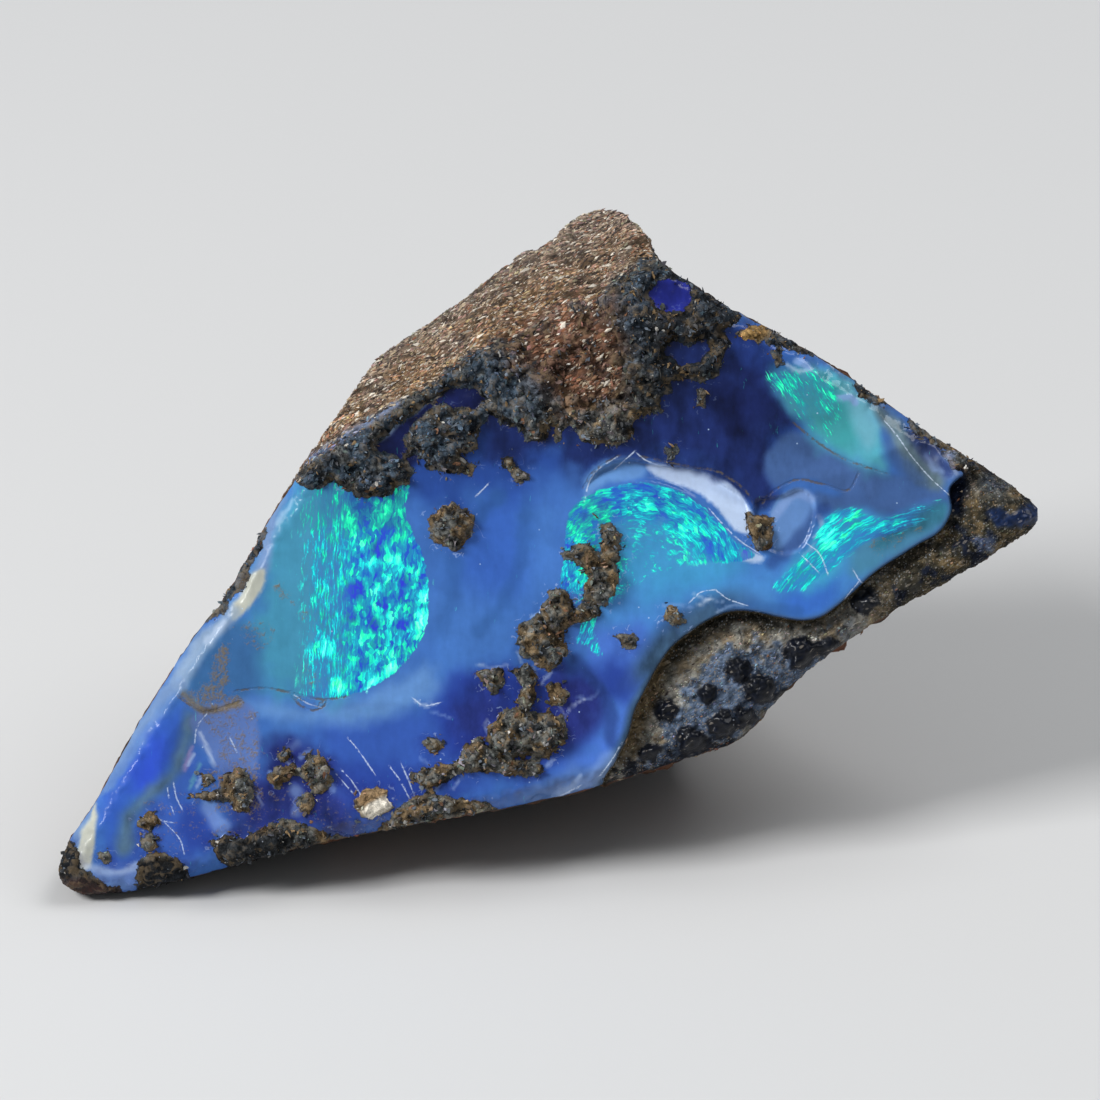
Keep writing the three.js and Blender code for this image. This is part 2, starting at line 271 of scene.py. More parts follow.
# Crust left standing on the opal: how far each bit stands up, and its outline.
crustBits = [
    (0.9, path(  # the round bit
        -7.5, 1.9, -6.9, 2.6, -6.1, 2.9, -5.3, 2.6, -4.8, 1.9, -4.9, 0.9, -5.5, 0.3, -6.1, 0, -6.9, 0.4,
        -7.4, 1.1,
    )),
    (0.4, path(-2.8, 5.6, -2.4, 5.8, -2.1, 5.1, -1.6, 5, -1.5, 4.5, -2, 4.2, -2.4, 4.6, -2.8, 5)),
    (0.3, path(7.3, 6.3, 7.9, 6.5, 8.1, 5.9, 7.5, 5.7)),
    (0.5, path(7, -3.9, 7.6, -3.6, 8.2, -3.9, 8.4, -4.5, 7.9, -4.9, 7.1, -4.6)),
    (0.4, path(4.2, -5.4, 5, -5.2, 5.5, -5.6, 5.2, -6.1, 4.5, -6.1)),
    (0.8, path(12.4, 2, 13.1, 2.2, 13.8, 1.9, 13.8, 0.9, 13.5, 0.1, 12.9, 0, 12.6, 0.8, 12.3, 1.4)),
    (0.7, path(3.2, 1.7, 3.9, 1.7, 4.4, 0.9, 4.6, 0, 4.1, -0.6, 3.4, -0.4, 3.1, 0.3, 3.4, 0.9)),
    (1.1, path(
        0.8, -0.3, 1.6, 0.3, 2.4, 0.4, 3, -0.2, 3.6, -0.6, 4.1, -1.2, 4.4, -2.1, 3.9, -2.9, 3.1, -3.5,
        2.5, -3.3, 2.2, -2.5, 2.5, -1.6, 1.8, -1, 1.1, -0.6,
    )),
    (0.9, path(
        -0.1, -2.7, 0.8, -2.5, 1.2, -3.1, 1.5, -3.6, 2.5, -3.2, 3.1, -3.5, 3.2, -4.1, 2.2, -4.4, 1.3, -4.8,
        0.6, -5.4, 0.1, -5.1, -0.3, -4.5, -0.3, -3.5,
    )),
    (1, path(
        -1.8, -4.7, -0.6, -4.2, 0, -5, 0.6, -5.6, 1, -6.4, 0.8, -7.1, 0, -7.5, -0.9, -7.1, -1.6, -6.6,
        -1.9, -5.8,
    )),
    (0.5, path(-4.7, -7.6, -3.8, -7.3, -3, -7.6, -3.1, -8.2, -3.6, -8.9, -4.1, -8.4)),
    (0.6, path(-2.5, -7.6, -1.5, -7.2, -0.8, -8, -0.9, -9.2, -1.5, -10, -2.2, -9.5, -1.8, -8.5)),
    (1.1, path(
        -3.7, -11, -3.1, -10.1, -1.9, -9.9, -0.9, -10.4, -0.1, -10.2, 0.7, -10.6, 0.9, -11.6, 0.5, -12.6,
        -0.3, -13, -1.2, -12.8, -2.5, -13, -3.4, -12.6, -3.9, -11.9,
    )),
    (0.8, path(
        -5.9, -13.1, -5.3, -12.2, -4.4, -11.9, -3.4, -12.5, -2.2, -13.1, -0.9, -13.2, -0.6, -13.8,
        -1.9, -14.2, -3.4, -13.9, -4.7, -13.8, -5.6, -13.8, -6.8, -14.6, -7.5, -15, -8, -14.3, -6.9, -13.6,
    )),
    (0.5, path(-0.1, -8.6, 0.6, -8.4, 1.1, -9, 0.8, -9.6, 0.1, -9.4)),
    (0.4, path(-7.9, -12, -7.2, -11.8, -6.9, -12.2, -7.4, -12.7, -7.8, -12.4)),
    (0.5, path(-8.5, -14.1, -7.9, -13.8, -7.5, -14.1, -7.9, -14.8, -8.4, -14.6)),
    (0.8, path(
        -22.5, -15.4, -21.6, -15.2, -20.5, -15, -20.3, -14.1, -19.4, -13.8, -18.6, -14.4, -18.4, -15.3,
        -18.9, -16, -19.6, -16.4, -20.1, -15.8, -21.1, -15.6,
    )),
    (0.4, path(-21.8, -14, -21.2, -13.9, -21, -14.4, -21.5, -14.7)),
    (0.4, path(-17, -12.5, -16.4, -12.4, -16.2, -12.9, -16.7, -13.3)),
    (0.4, path(-17.6, -14.3, -16.9, -13.6, -15.9, -13.4, -15.8, -13.9, -16.5, -14.4, -17.1, -14.8)),
    (0.6, path(
        -15.6, -13.6, -15, -12.9, -14.4, -12.8, -13.9, -13.6, -13.6, -14.4, -14.2, -15.1, -15, -14.9,
        -15.4, -14.3,
    )),
    (0.4, path(-15.8, -15.4, -15.2, -15.3, -14.8, -15.8, -15.1, -16.4, -15.7, -16)),
    (0.3, path(-25.7, -16.8, -25, -16.4, -24.5, -17, -25, -17.4, -25.6, -17.2)),
    (0.4, path(-25.6, -18.1, -24.8, -17.8, -24.3, -18.5, -25, -18.9, -25.6, -18.7)),
    (0.6, path(
        -25.8, -19.5, -24.7, -18.8, -23.8, -19.2, -22.9, -19.8, -22.5, -20.6, -23.6, -21.2, -25.6, -21.6,
        -25.9, -20.5,
    )),
    (0.9, path(
        -21.1, -18.2, -20.3, -17.9, -19.1, -18.1, -18.1, -17.4, -16.9, -16.9, -15.6, -17.2, -14.4, -17.6,
        -13.4, -18, -12.5, -18, -12.8, -18.9, -15.6, -19.5, -19.4, -20.4, -20.5, -19.4,
    )),
    (0.7, path(
        -9.9, -17, -9.1, -15.9, -7.8, -15.3, -6.5, -15.4, -5.2, -15.7, -3.8, -16, -3.1, -16.6, -6.9, -17.8,
        -9.7, -18.2, -11.9, -18.6, -11.8, -17.9,
    )),
    (0.25, path(-28.1, -19, -27.6, -18.9, -27.5, -19.3, -27.9, -19.5)),
    (0.4, path(13.8, 12.5, 14.4, 12.9, 14.7, 12.1, 14.2, 11.5, 13.8, 11.9)),
    (0.5, path(  # the orange bit
        11.8, 13.4, 12.5, 14, 13.3, 14.1, 13.6, 13.6, 13, 13.1, 12.2, 13.1,
    )),
    (0.7, path(  # the pale chip
        -12.1, -15.7, -11.8, -15.1, -10.8, -14.8, -10.1, -15, -10.2, -15.5, -10, -16, -10.6, -16.4,
        -11.1, -16.8, -11.8, -16.6, -12.1, -16.1,
    )),
    (0.35, path(13.2, 14.2, 15, 13.4, 16.6, 12.5, 16.4, 12.1, 14.7, 12.6, 13.8, 13)),
    (0.3, path(19.1, 10.8, 20.9, 9.8, 21.2, 9.2, 20.4, 9.1, 19.5, 9.7)),
    (0.4, path(  # along the right rim
        22.4, 8.6, 23.9, 7.6, 25.8, 6.2, 27.5, 5.1, 26.4, 4.5, 25.2, 5.2, 24.8, 6.2, 23.8, 6.8, 22.8, 7.6,
    )),
    (0.5, path(  # along the left rim
        -22.1, -4.5, -20.5, -1.6, -18.9, 1.2, -18, 1.4, -18, 0.2, -18.6, -0.6, -19.1, -1.8, -19.8, -2.9,
        -20.5, -3.8, -21.4, -4.2,
    )),
    (0.5, path(  # the left tip
        -31.2, -20.6, -31, -18.6, -30.2, -18.2, -29.6, -18.6, -29.4, -19.8, -28.3, -20.6, -26.8, -21.5,
        -27.5, -22.5, -30.6, -22.2,
    )),
    (0.3, path(9.4, 9.9, 9.8, 9.6, 9.6, 8.9, 9.2, 9.1)),
]
# Round beads of dark potch on the hollow's floor: x, y, radius.
hollowBeads = [
    (7.2, -10, 0.8), (8.8, -11.9, 1), (10.7, -10.9, 0.9), (13.1, -8.8, 1.1), (15.6, -6.6, 1),
    (19.7, -3.2, 0.9), (11.8, -7.6, 0.8), (6.3, -12.6, 0.7), (14.6, -9.3, 0.6), (17.6, -6.2, 0.7),
    (9.9, -9, 0.6), (12.2, -10.4, 0.7), (22.6, -2.2, 0.6),
]
redPart = path(-3, 12.6, -1, 14, 1.4, 15.4, 4, 15.6, 4.6, 12, 4.4, 9.4, 1, 8.6, -1, 10.6)
chippedLip = path(
    2, 2.8, 2.6, 4.6, 4.2, 5.6, 6.2, 5.5, 9.4, 5, 10.9, 4.1, 12.4, 2.9, 11.7, 0.8, 10.3, 2.2, 8.8, 3.4,
    6.2, 4.3, 3.8, 3.9,
)
slateChip = path(12.8, 3.1, 14.4, 3.4, 15.6, 3.9, 16.4, 3.3, 16.6, 2.2, 15.6, 0, 13.6, 0)
# Shallow conchoidal scoops: x, y, half width, half height and depth.
scoops = [
    (-6.3, 9.9, 1.6, 0.8, 0.3), (7.4, 15.8, 1.6, 1.1, 0.4), (-21.2, -13.8, 3.2, 3.8, 0.6),
    (-12, -12.5, 6, 3.4, 0.35), (16.5, 6.4, 3.4, 2, 0.35), (22.5, 4.6, 2.6, 2.2, 0.4),
    (-12.5, -3, 6.2, 7.6, 0.35), (8.5, -0.8, 6.6, 4.6, 0.3), (20.5, 8, 3, 2.2, 0.3),
    (-2, 1.5, 4.6, 6, 0.25), (13.5, -8.2, 2.6, 2, 0.5),
]
hollowEdge = smoothClosedLine(hollowOutline, 4)
lipEdge = smoothClosedLine(chippedLip, 4)
slateEdge = smoothClosedLine(slateChip, 4)
shape = {
    "brownSlope": 2.06,  # how steeply the brown side falls back
    "edgeRound": 0.5,
    "bendRound": 3.2,
    "brownRough": 0.5,
    "swell": 0.35,
    "rimDrop": 1.5,
    "rimWidth": 1.2,
    "crustHeight": 0.75,
    "crustRough": 0.34,
    "hollowDrop": 1.7,
    "hollowTipDrop": 0.85,
    "hollowRise": 0.16,
    "hollowLeast": 0.4,
    "ledgeWall": 0.12,
    "hollowRough": 0.22,
    "beadHeight": 0.6,
    "lipDepth": 0.6,
    "lipTop": 5.2,  # the chip is deepest above a line at this height
    "lipFall": 0.24,  # that falls this steeply
    "lipTurn": 6,  # right of this place
    "slateDepth": 0.3,
    "backDepth": 26,
    "fineSpacing": 0.126,  # between the skin's points where it is rough
    "plainSpacing": 0.19,  # and where it is smooth
    "rimSpacing": 0.107,
    "ledgeSpacing": 0.11,
    "backSpacing": 0.38,
    "wallRows": (-0.16, -0.1, -0.035, 0.035, 0.1, 0.16),  # rows of points beside the ledge
    "besideWall": 0.22,  # no other points nearer to the ledge
    "rimNibble": 0.04,  # how far the broken rim runs in and out
    "rockNibble": 0.14,  # and how much farther where it is rock
}


def bendBack(distance, roundness):
    # flat before the bend, straight after it and round between
    curve = (distance + roundness) ** 2 / (4 * roundness)
    return np.where(distance < -roundness, 0, np.where(distance > roundness, distance, curve))


def frontFields(x, y):
    # which of the stone's materials lies at each place of the front, as signed distances
    flat = onPlane(x, y)
    ragged = mottled(flat, (1.3, 40, 0.24), (0.6, 41, 0.2), (0.3, 42, 0.12))
    fields = {"stone": insideOf(stoneOutline, x, y, 60)}
    fields["brown"] = insideOf(brownOutline, x, y, 30) + 0.35 * noiseAt(flat, 1.1, 44) + ragged
    fields["brown"] += 0.9 * smooth(insideOf(crustOutline, x, y), -1, 0.2)  # no opal between it and the crust
    fields["hollow"] = insideOf(hollowEdge, x, y, 12)
    crust = insideOf(crustOutline, x, y) + ragged
    for window in opalWindows:
        crust = np.minimum(crust, -insideOf(window, x, y) + 0.6 * ragged)
    standing = smooth(crust, 0, 0.7) * shape["crustHeight"]
    for high, outline in crustBits:
        inside = insideOf(outline, x, y, 1.2) + ragged
        mound = 0.55 * smooth(inside, -0.05, 0.3) + 0.45 * smooth(inside, 0, 1.2 * high)
        standing = np.maximum(standing, high * mound)
        crust = np.maximum(crust, inside)
    # scattered patches of crust in the reddish part of the brown side
    patches = mottled(flat, (0.9, 45, 0.7), (0.4, 46, 0.3)) - 0.05
    crust = np.maximum(crust, np.minimum(patches, insideOf(redPart, x, y)))
    standing = np.maximum(standing, 0.5 * smooth(crust, 0, 0.5))
    fields["crust"] = crust
    fields["standing"] = standing
    beads = np.full(len(x), -3.0)
    for beadX, beadY, radius in hollowBeads:
        beads = np.maximum(beads, radius - np.hypot(x - beadX, y - beadY) + 1.3 * ragged)
    fields["beads"] = beads
    return fields


def frontHeight(x, y, fields):
    # how far the front stands out of the opal face's plane
    flat = onPlane(x, y)
    above = y - np.interp(x, *np.array(brownCrest).T)
    toBend = smooth(x, -5, -1)
    roundness = shape["edgeRound"] + (shape["bendRound"] - shape["edgeRound"]) * toBend
    onBrown = smooth(above, 0, 1.5)
    crags = mottled(flat, (1.25, 2, 1), (0.6, 7, 0.7), (0.33, 8, 0.5))
    height = -shape["brownSlope"] * bendBack(above, roundness)
    height += onBrown * shape["brownRough"] * noiseAt(flat * np.array([1 / 2.0, 1 / 1.1, 1]), 1, 9)
    height += (1 - onBrown) * shape["swell"] * noiseAt(flat, 8.3, 4)
    height += fields["standing"] + smooth(fields["crust"], 0, 0.5) * shape["crustRough"] * crags
    toRim = np.clip(1 - fields["stone"] / shape["rimWidth"], 0, 1)
    height -= (1 - onBrown) * shape["rimDrop"] * toRim ** 2
    depth = np.zeros(len(x))
    for scoopX, scoopY, halfWidth, halfHeight, deep in scoops:
        away = np.hypot((x - scoopX) / halfWidth, (y - scoopY) / halfHeight)
        depth = np.maximum(depth, deep * np.clip(1 - away ** 2, 0, 1))
    height -= depth
    lipLine = shape["lipTop"] - shape["lipFall"] * np.maximum(x - shape["lipTurn"], 0)
    onLip = smooth(insideOf(lipEdge, x, y), 0, 0.12)
    height -= onLip * shape["lipDepth"] * smooth(y - lipLine, -1.6, 0.2)
    height -= shape["slateDepth"] * smooth(insideOf(slateEdge, x, y), 0, 0.12)
    inHollow = smooth(fields["hollow"], -shape["ledgeWall"], shape["ledgeWall"])
    drop = shape["hollowDrop"] + (shape["hollowTipDrop"] - shape["hollowDrop"]) * smooth(x, 16, 24)
    floor = drop - shape["hollowRise"] * np.maximum(fields["hollow"], 0) + shape["hollowRough"] * crags
    floor -= shape["beadHeight"] * np.sqrt(smooth(fields["beads"], -0.1, 0.9))
    return height - inHollow * np.maximum(floor, shape["hollowLeast"])


def scatterFlat(low, high, spacing, draw):
    # a jittered lattice of even triangles over a rectangle
    rows = np.arange(low[1], high[1], spacing * 0.866)
    columns = np.arange(low[0], high[0], spacing)
    x, y = np.meshgrid(columns, rows)
    x = x + (np.arange(len(rows)) % 2 * spacing / 2)[:, None]
    places = np.stack([x.ravel(), y.ravel()], 1)
    return places + draw.uniform(-0.22, 0.22, places.shape) * spacing


def fillOutline(rimPoints, inner):
    # triangles over the inside of a closed outline; the rim's points come first, in order
    points = [Vector(point) for point in np.vstack([rimPoints, inner])]
    made = delaunay_2d_cdt(points, [], [list(range(len(rimPoints)))], 1, 1e-6, True)  # 1: the inside only
    places = np.array([tuple(point) for point in made[0]])
    order = np.full(len(points), -1)
    for index, source in enumerate(made[3]):
        order[source] = index
    rimOrder = order[:len(rimPoints)]
    faces = np.array(made[2], dtype=np.int64)
    isRim = np.zeros(len(places), dtype=bool)
    isRim[rimOrder] = True
    middles = places[faces].mean(1)
    outside = isRim[faces].all(1)  # these may span a bay of the outline
    outside[outside] = insideOf(rimPoints, *middles[outside].T) < 0
    return places, faces[~outside], rimOrder


draw = np.random.default_rng(28)
rim = evenly(smoothClosedLine(stoneOutline), shape["rimSpacing"])
rimFields = frontFields(*rim.T)
# Broken edges are a little ragged, and the crust's more than the opal's.
rimRock = np.maximum.reduce([rimFields["crust"], rimFields["hollow"] * 0.5, rimFields["brown"] * 0.3])
rimRock = smooth(rimRock, 0, 0.4)
middleWards = np.roll(rim, 1, 0) - np.roll(rim, -1, 0)
middleWards = np.stack([-middleWards[:, 1], middleWards[:, 0]], 1)
middleWards /= np.linalg.norm(middleWards, axis=1)[:, None]
middleWards *= np.sign(np.median(insideOf(stoneOutline, *(rim + 0.3 * middleWards).T, 5)))
nibble = 0.5 + 0.5 * np.clip(roughAt(onPlane(*rim.T), 1.1, 50), -1, 1)
nibble *= shape["rimNibble"] + shape["rockNibble"] * rimRock
rim = rim + middleWards * nibble[:, None]

# Rows of points on both sides of the ledge keep its wall steep.
ledgeLine = evenly(hollowEdge, shape["ledgeSpacing"])
ledgeLine = ledgeLine[insideOf(rim, *ledgeLine.T) > 0.25]
ledgeSide = np.stack([
    insideOf(hollowEdge, *(ledgeLine + step).T) - insideOf(hollowEdge, *(ledgeLine - step).T)
    for step in ((0.02, 0), (0, 0.02))], 1)
ledgeSide /= np.linalg.norm(ledgeSide, axis=1)[:, None]
lattices = [ledgeLine + ledgeSide * off for off in shape["wallRows"]]
frontSpan = np.array([31, 22])
for spacing, wantRough in ((shape["fineSpacing"], True), (shape["plainSpacing"], False)):
    places = scatterFlat(-frontSpan, frontSpan, spacing, draw)
    fields = frontFields(*places.T)
    x, y = places.T
    crisp = np.minimum(np.abs(insideOf(lipEdge, x, y)), np.abs(insideOf(slateEdge, x, y)))
    rough = (fields["crust"] > -0.3) | (fields["brown"] > -0.2) | (fields["hollow"] > -0.4) | (crisp < 0.3)
    rough |= fields["stone"] < 1.5
    kept = (insideOf(rim[::3], x, y) > 0.6 * spacing) & (np.abs(fields["hollow"]) > shape["besideWall"])
    lattices.append(places[kept & (rough == wantRough)])
frontPlaces, frontFaces, frontRim = fillOutline(rim, np.vstack(lattices))
print("front:", len(frontPlaces), "points,", len(frontFaces), "triangles")

# The back starts as a disc whose rim is the stone's outline.
turns = np.linspace(0, 2 * math.pi, len(rim), endpoint=False)
discRadius = 30.0
discRim = discRadius * np.stack([np.cos(turns), np.sin(turns)], 1)
backMiddle = np.array([-1.0, -4.0])
discInner = scatterFlat((-discRadius, -discRadius), (discRadius, discRadius), shape["backSpacing"], draw)
discInner = discInner[np.hypot(*discInner.T) < discRadius - 0.2]
discPlaces, discFaces, discRimOrder = fillOutline(discRim, discInner)
print("back:", len(discPlaces), "points,", len(discFaces), "triangles")


def backStarts(disc, rimPlaces, rimHeights):
    # where each point of the disc would lie before the back's facets are cut, standing up
    corners = [(1, 0), (0.985, 0.13), (0.94, 0.42), (0.84, 0.68), (0.66, 0.86), (0.36, 0.97), (0, 1),
               (0.5, -1)]
    steps = 12
    profile = smoothClosedLine(corners, steps)[:6 * steps + 1]  # from the rim to the back's middle
    along = np.concatenate([[0], np.cumsum(np.hypot(*np.diff(profile, axis=0).T))])
    share = np.clip(np.hypot(*disc.T) / discRadius, 0, 1)
    out, sunk = (np.interp((1 - share) * along[-1], along, profile[:, axis]) for axis in range(2))
    turn = np.arctan2(disc[:, 1], disc[:, 0]) % (2 * math.pi)
    ends = np.append(turns, 2 * math.pi)
    around = np.column_stack([rimPlaces, rimHeights])
    *edge, edgeHeight = (np.interp(turn, ends, np.append(values, values[0])) for values in around.T)
    places = backMiddle + (np.stack(edge, 1) - backMiddle) * out[:, None]
    heights = edgeHeight + (-shape["backDepth"] - edgeHeight) * sunk
    return standUp(np.column_stack([places, heights])), sunk


def neighbourPairs(faces, count):
    # which points share an edge, and how many neighbours each point has
    pairs = np.vstack([faces[:, (0, 1)], faces[:, (1, 2)], faces[:, (2, 0)]])
    pairs = np.unique(np.sort(pairs, 1), axis=0)
    return pairs, np.bincount(pairs.ravel(), minlength=count)


def settle(values, pairs, counts, held, rounds):
    # evens values out over neighbouring points, apart from those that are held
    for _ in range(rounds):
        total = np.zeros_like(values)
        np.add.at(total, pairs[:, 0], values[pairs[:, 1]])
        np.add.at(total, pairs[:, 1], values[pairs[:, 0]])
        values = np.where(held, values, 0.5 * (values + total / np.maximum(counts, 1)))
    return values


frontFieldsHere = frontFields(*frontPlaces.T)
heights = frontHeight(*frontPlaces.T, frontFieldsHere)
frontPoints = standUp(np.column_stack([frontPlaces, heights]))
rimHeights = heights[frontRim]

# The back takes the shape of the frame's own stone, seen from the stone's middle.
stoneMiddle = np.array([0.112, -1.032, 15.0])
starts, sunk = backStarts(discPlaces, frontPlaces[frontRim], rimHeights)
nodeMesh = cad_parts[nodeName].data
nodeMesh.calc_loop_triangles()
nodePoints = np.empty(len(nodeMesh.vertices) * 3)
nodeMesh.vertices.foreach_get("co", nodePoints)
nodePoints = nodePoints.reshape(-1, 3) / millimetre
nodeTree = BVHTree.FromPolygons(
    [tuple(point) for point in nodePoints], [tuple(face.vertices) for face in nodeMesh.loop_triangles])
rays = starts - stoneMiddle
reach = np.linalg.norm(rays, axis=1)
rays /= reach[:, None]
found = reach.copy()
for index in np.nonzero(sunk > 0.02)[0]:
    distance = nodeTree.ray_cast(Vector(stoneMiddle), Vector(rays[index]), 60)[3]
    if distance is not None:
        found[index] = distance
reach = reach + (found - reach) * smooth(sunk, 0.02, 0.22)
backPairs, backCounts = neighbourPairs(discFaces, len(discPlaces))
onRim = np.zeros(len(discPlaces), dtype=bool)
onRim[discRimOrder] = True
reach = settle(reach, backPairs, backCounts, onRim, 10)
backPoints = stoneMiddle + rays * reach[:, None]
backPoints[discRimOrder] = frontPoints[frontRim]

# One skin: the front's points, then the back's without its rim.
backIndex = np.full(len(discPlaces), -1)
backIndex[discRimOrder] = frontRim
backIndex[~onRim] = len(frontPoints) + np.arange((~onRim).sum())
skinPoints = np.vstack([frontPoints, backPoints[~onRim]])
skinFaces = np.vstack([frontFaces, backIndex[discFaces]])
frontCount = len(frontFaces)


def crossOf(points, faces):
    # each triangle's normal, whose length is twice its area
    a, b, c = (points[faces[:, corner]] for corner in range(3))
    return np.cross(b - a, c - a)


def normalsOf(points, faces):
    faceNormals = crossOf(points, faces)
    normals = np.zeros_like(points)
    for corner in range(3):
        np.add.at(normals, faces[:, corner], faceNormals)
    return normals / np.maximum(np.linalg.norm(normals, axis=1), 1e-9)[:, None]


# Both halves face outwards: the front away from its plane, and the back away from the middle.
faceMiddle, aboveMiddle = standUp(np.array([(0, 0, 0), (0, 0, 1.0)]))
for part, points, faces, away in (
        (slice(frontCount), frontPoints, frontFaces, aboveMiddle - faceMiddle),
        (slice(frontCount, None), backPoints, discFaces, backPoints - stoneMiddle)):
    if np.median((normalsOf(points, faces) * away).sum(1)) < 0:
        skinFaces[part] = skinFaces[part][:, ::-1]


# The skin stays inside the box of the frame's stone. Near its front it is eased back.
keepIn = {"easeFrom": 0.7, "easeTo": 0.03, "gap": 0.01}
low, high = (np.array(corner) / millimetre for corner in cadBox)


def drawInside(points, looks, out):
    # points past a plane go back to it, straight towards the stone's middle
    over = points @ looks - out
    total = points @ looks - stoneMiddle @ looks
    share = np.where(over > 0, over / np.maximum(total, 1e-6), 0)
    return points + (stoneMiddle - points) * share[:, None]


def keepBehind(points, plane):
    # eases points that stand too near a plane across y back into the face, and leaves the rest
    margin = points[:, 1] - plane
    ease = keepIn["easeFrom"] - keepIn["easeTo"]
    eased = keepIn["easeTo"] + ease * np.exp((margin - keepIn["easeFrom"]) / ease)
    back = np.where(margin < keepIn["easeFrom"], eased - margin, 0)
    return points + back[:, None] * np.array([0, 1, -math.tan(face["lean"])])


def keepInBox(points, isFront):
    points = np.where(isFront[:, None], keepBehind(points, low[1]), points)
    for axis, looks in enumerate(np.eye(3)):
        points = drawInside(points, looks, high[axis] - keepIn["gap"])
        points = drawInside(points, -looks, -low[axis] - (0 if axis == 2 else keepIn["gap"]))
    return points


# Values for every point of the skin.
count = len(skinPoints)
onBack = np.arange(count) >= len(frontPoints)
onFront = np.where(onBack, 0.0, 1.0)
skinFlat = layDown(skinPoints)
skinX, skinY, skinZ = skinFlat.T


def onSkin(frontValues, backValue):
    values = np.full(count, float(backValue))
    values[:len(frontPoints)] = frontValues
    return values


crustHere, brownHere, hollowHere, beadsHere, stoneHere = (
    onSkin(frontFieldsHere[name], behind)
    for name, behind in (("crust", -3), ("brown", 6), ("hollow", -12), ("beads", -3), ("stone", -1)))

# Fine relief along the skin's own direction: grit on the brown side, crags on the crust,
# sand in the hollow, conchoidal ripples on the opal and a hackly break on the back.
relief = {
    "grit": 0.10,
    "crag": 0.2,
    "platesPerMillimetre": 2.5,
    "sand": 0.09,
    "ripple": 0.03,
    "edgeChips": 0.16,
    "hackle": 0.42,
    "pits": 0.5,
    "rimShare": 0.3,  # of the relief, left on the rim itself
    "paleChip": (-11.1, -15.8),  # where the crust is smooth
}
isCrust = smooth(crustHere, -0.05, 0.15)
isBrown = smooth(brownHere, -0.1, 0.5) * (1 - isCrust) * onFront
isHollow = smooth(hollowHere, 0, 0.5) * (1 - isCrust)
isOpal = (1 - np.maximum.reduce([isCrust, isBrown, isHollow])) * onFront
fineCrumb = 0.5 - crumbsAt(skinFlat, 0.42, 5)
plates = relief["platesPerMillimetre"] * noiseAt(skinFlat * np.array([0.7, 1.2, 1]), 0.9, 61)
plates = (np.floor(plates) + smooth(plates % 1, 0.35, 0.65)) / relief["platesPerMillimetre"]
crag = 0.6 * roughAt(skinFlat, 0.5, 60, 2, 0.7) + plates
crag += 0.4 * (crumbsAt(skinFlat, 0.85, 3) - 0.5)
crag += 0.5 * fineCrumb
fromChip = np.hypot(skinX - relief["paleChip"][0], skinY - relief["paleChip"][1])
crag *= 0.25 + 0.75 * smooth(fromChip, 0.9, 1.3)
gritFlow = skinFlat @ np.array([[0.85, -0.53, 0], [0.53, 0.85, 0], [0, 0, 1]]) / np.array([2.2, 1, 1])
grit = noiseAt(gritFlow, 0.3, 64) + 0.8 * noiseAt(skinFlat, 0.9, 65)
sand = roughAt(skinFlat, 0.5, 66, 2) + 0.7 * fineCrumb
lift = relief["crag"] * isCrust * crag + relief["grit"] * isBrown * grit
ripple = mottled(skinFlat, (2.1, 70, 1), (0.8, 71, 0.4))
lift += relief["sand"] * isHollow * sand + relief["ripple"] * isOpal * ripple
lift += relief["edgeChips"] * isOpal * (1 - smooth(stoneHere, 0.6, 1.7)) * roughAt(skinFlat, 0.9, 120, 3)
standsOut = isCrust * crag + isBrown * grit + 0.4 * isHollow * sand  # out of what lies around each place
hackle = roughAt(skinFlat, 2.4, 74, 4, 0.55) + 0.5 * (crumbsAt(skinFlat, 2.6, 9) - 0.5)
pitted = smooth(mottled(skinFlat, (3.1, 80, 1), (1.2, 81, 0.4)), 0.45, 0.8)
edgeAway = np.zeros(count)
edgeAway[len(frontPoints):] = smooth(discRadius - np.hypot(*discPlaces[~onRim].T), 0, 2.5)
lift += edgeAway * (relief["hackle"] * hackle - relief["pits"] * pitted)
lift[frontRim] *= relief["rimShare"]
skinPoints = skinPoints + normalsOf(skinPoints, skinFaces) * lift[:, None]
skinPoints = keepInBox(skinPoints, ~onBack)
print("skin:", len(skinFaces), "triangles")


def addObject(name, data):
    made = bpy.data.objects.new(name, data)
    bpy.context.scene.collection.objects.link(made)
    return made


def meshOf(name, points, faces, isSmooth):
    mesh = bpy.data.meshes.new(name)
    mesh.from_pydata((points * millimetre).tolist(), [], faces.tolist())
    mesh.polygons.foreach_set("use_smooth", np.full(len(faces), isSmooth))
    return addObject(name, mesh)


def paintOn(piece, name, values):
    # keeps a value for each point, which the material reads by name
    kind, what = ("FLOAT", "value") if values.ndim == 1 else ("FLOAT_VECTOR", "vector")
    layer = piece.data.attributes.new(name, kind, "POINT")
    layer.data.foreach_set(what, values.astype(np.float32).ravel())


def mapOut(piece, corners):
    # the piece's flat map, a place for each corner of its faces
    piece.data.uv_layers.new(name="OFBake")
    piece.data.uv_layers["OFBake"].data.foreach_set("uv", corners.astype(np.float32).ravel())


skin = meshOf("stoneSkin", skinPoints, skinFaces, True)

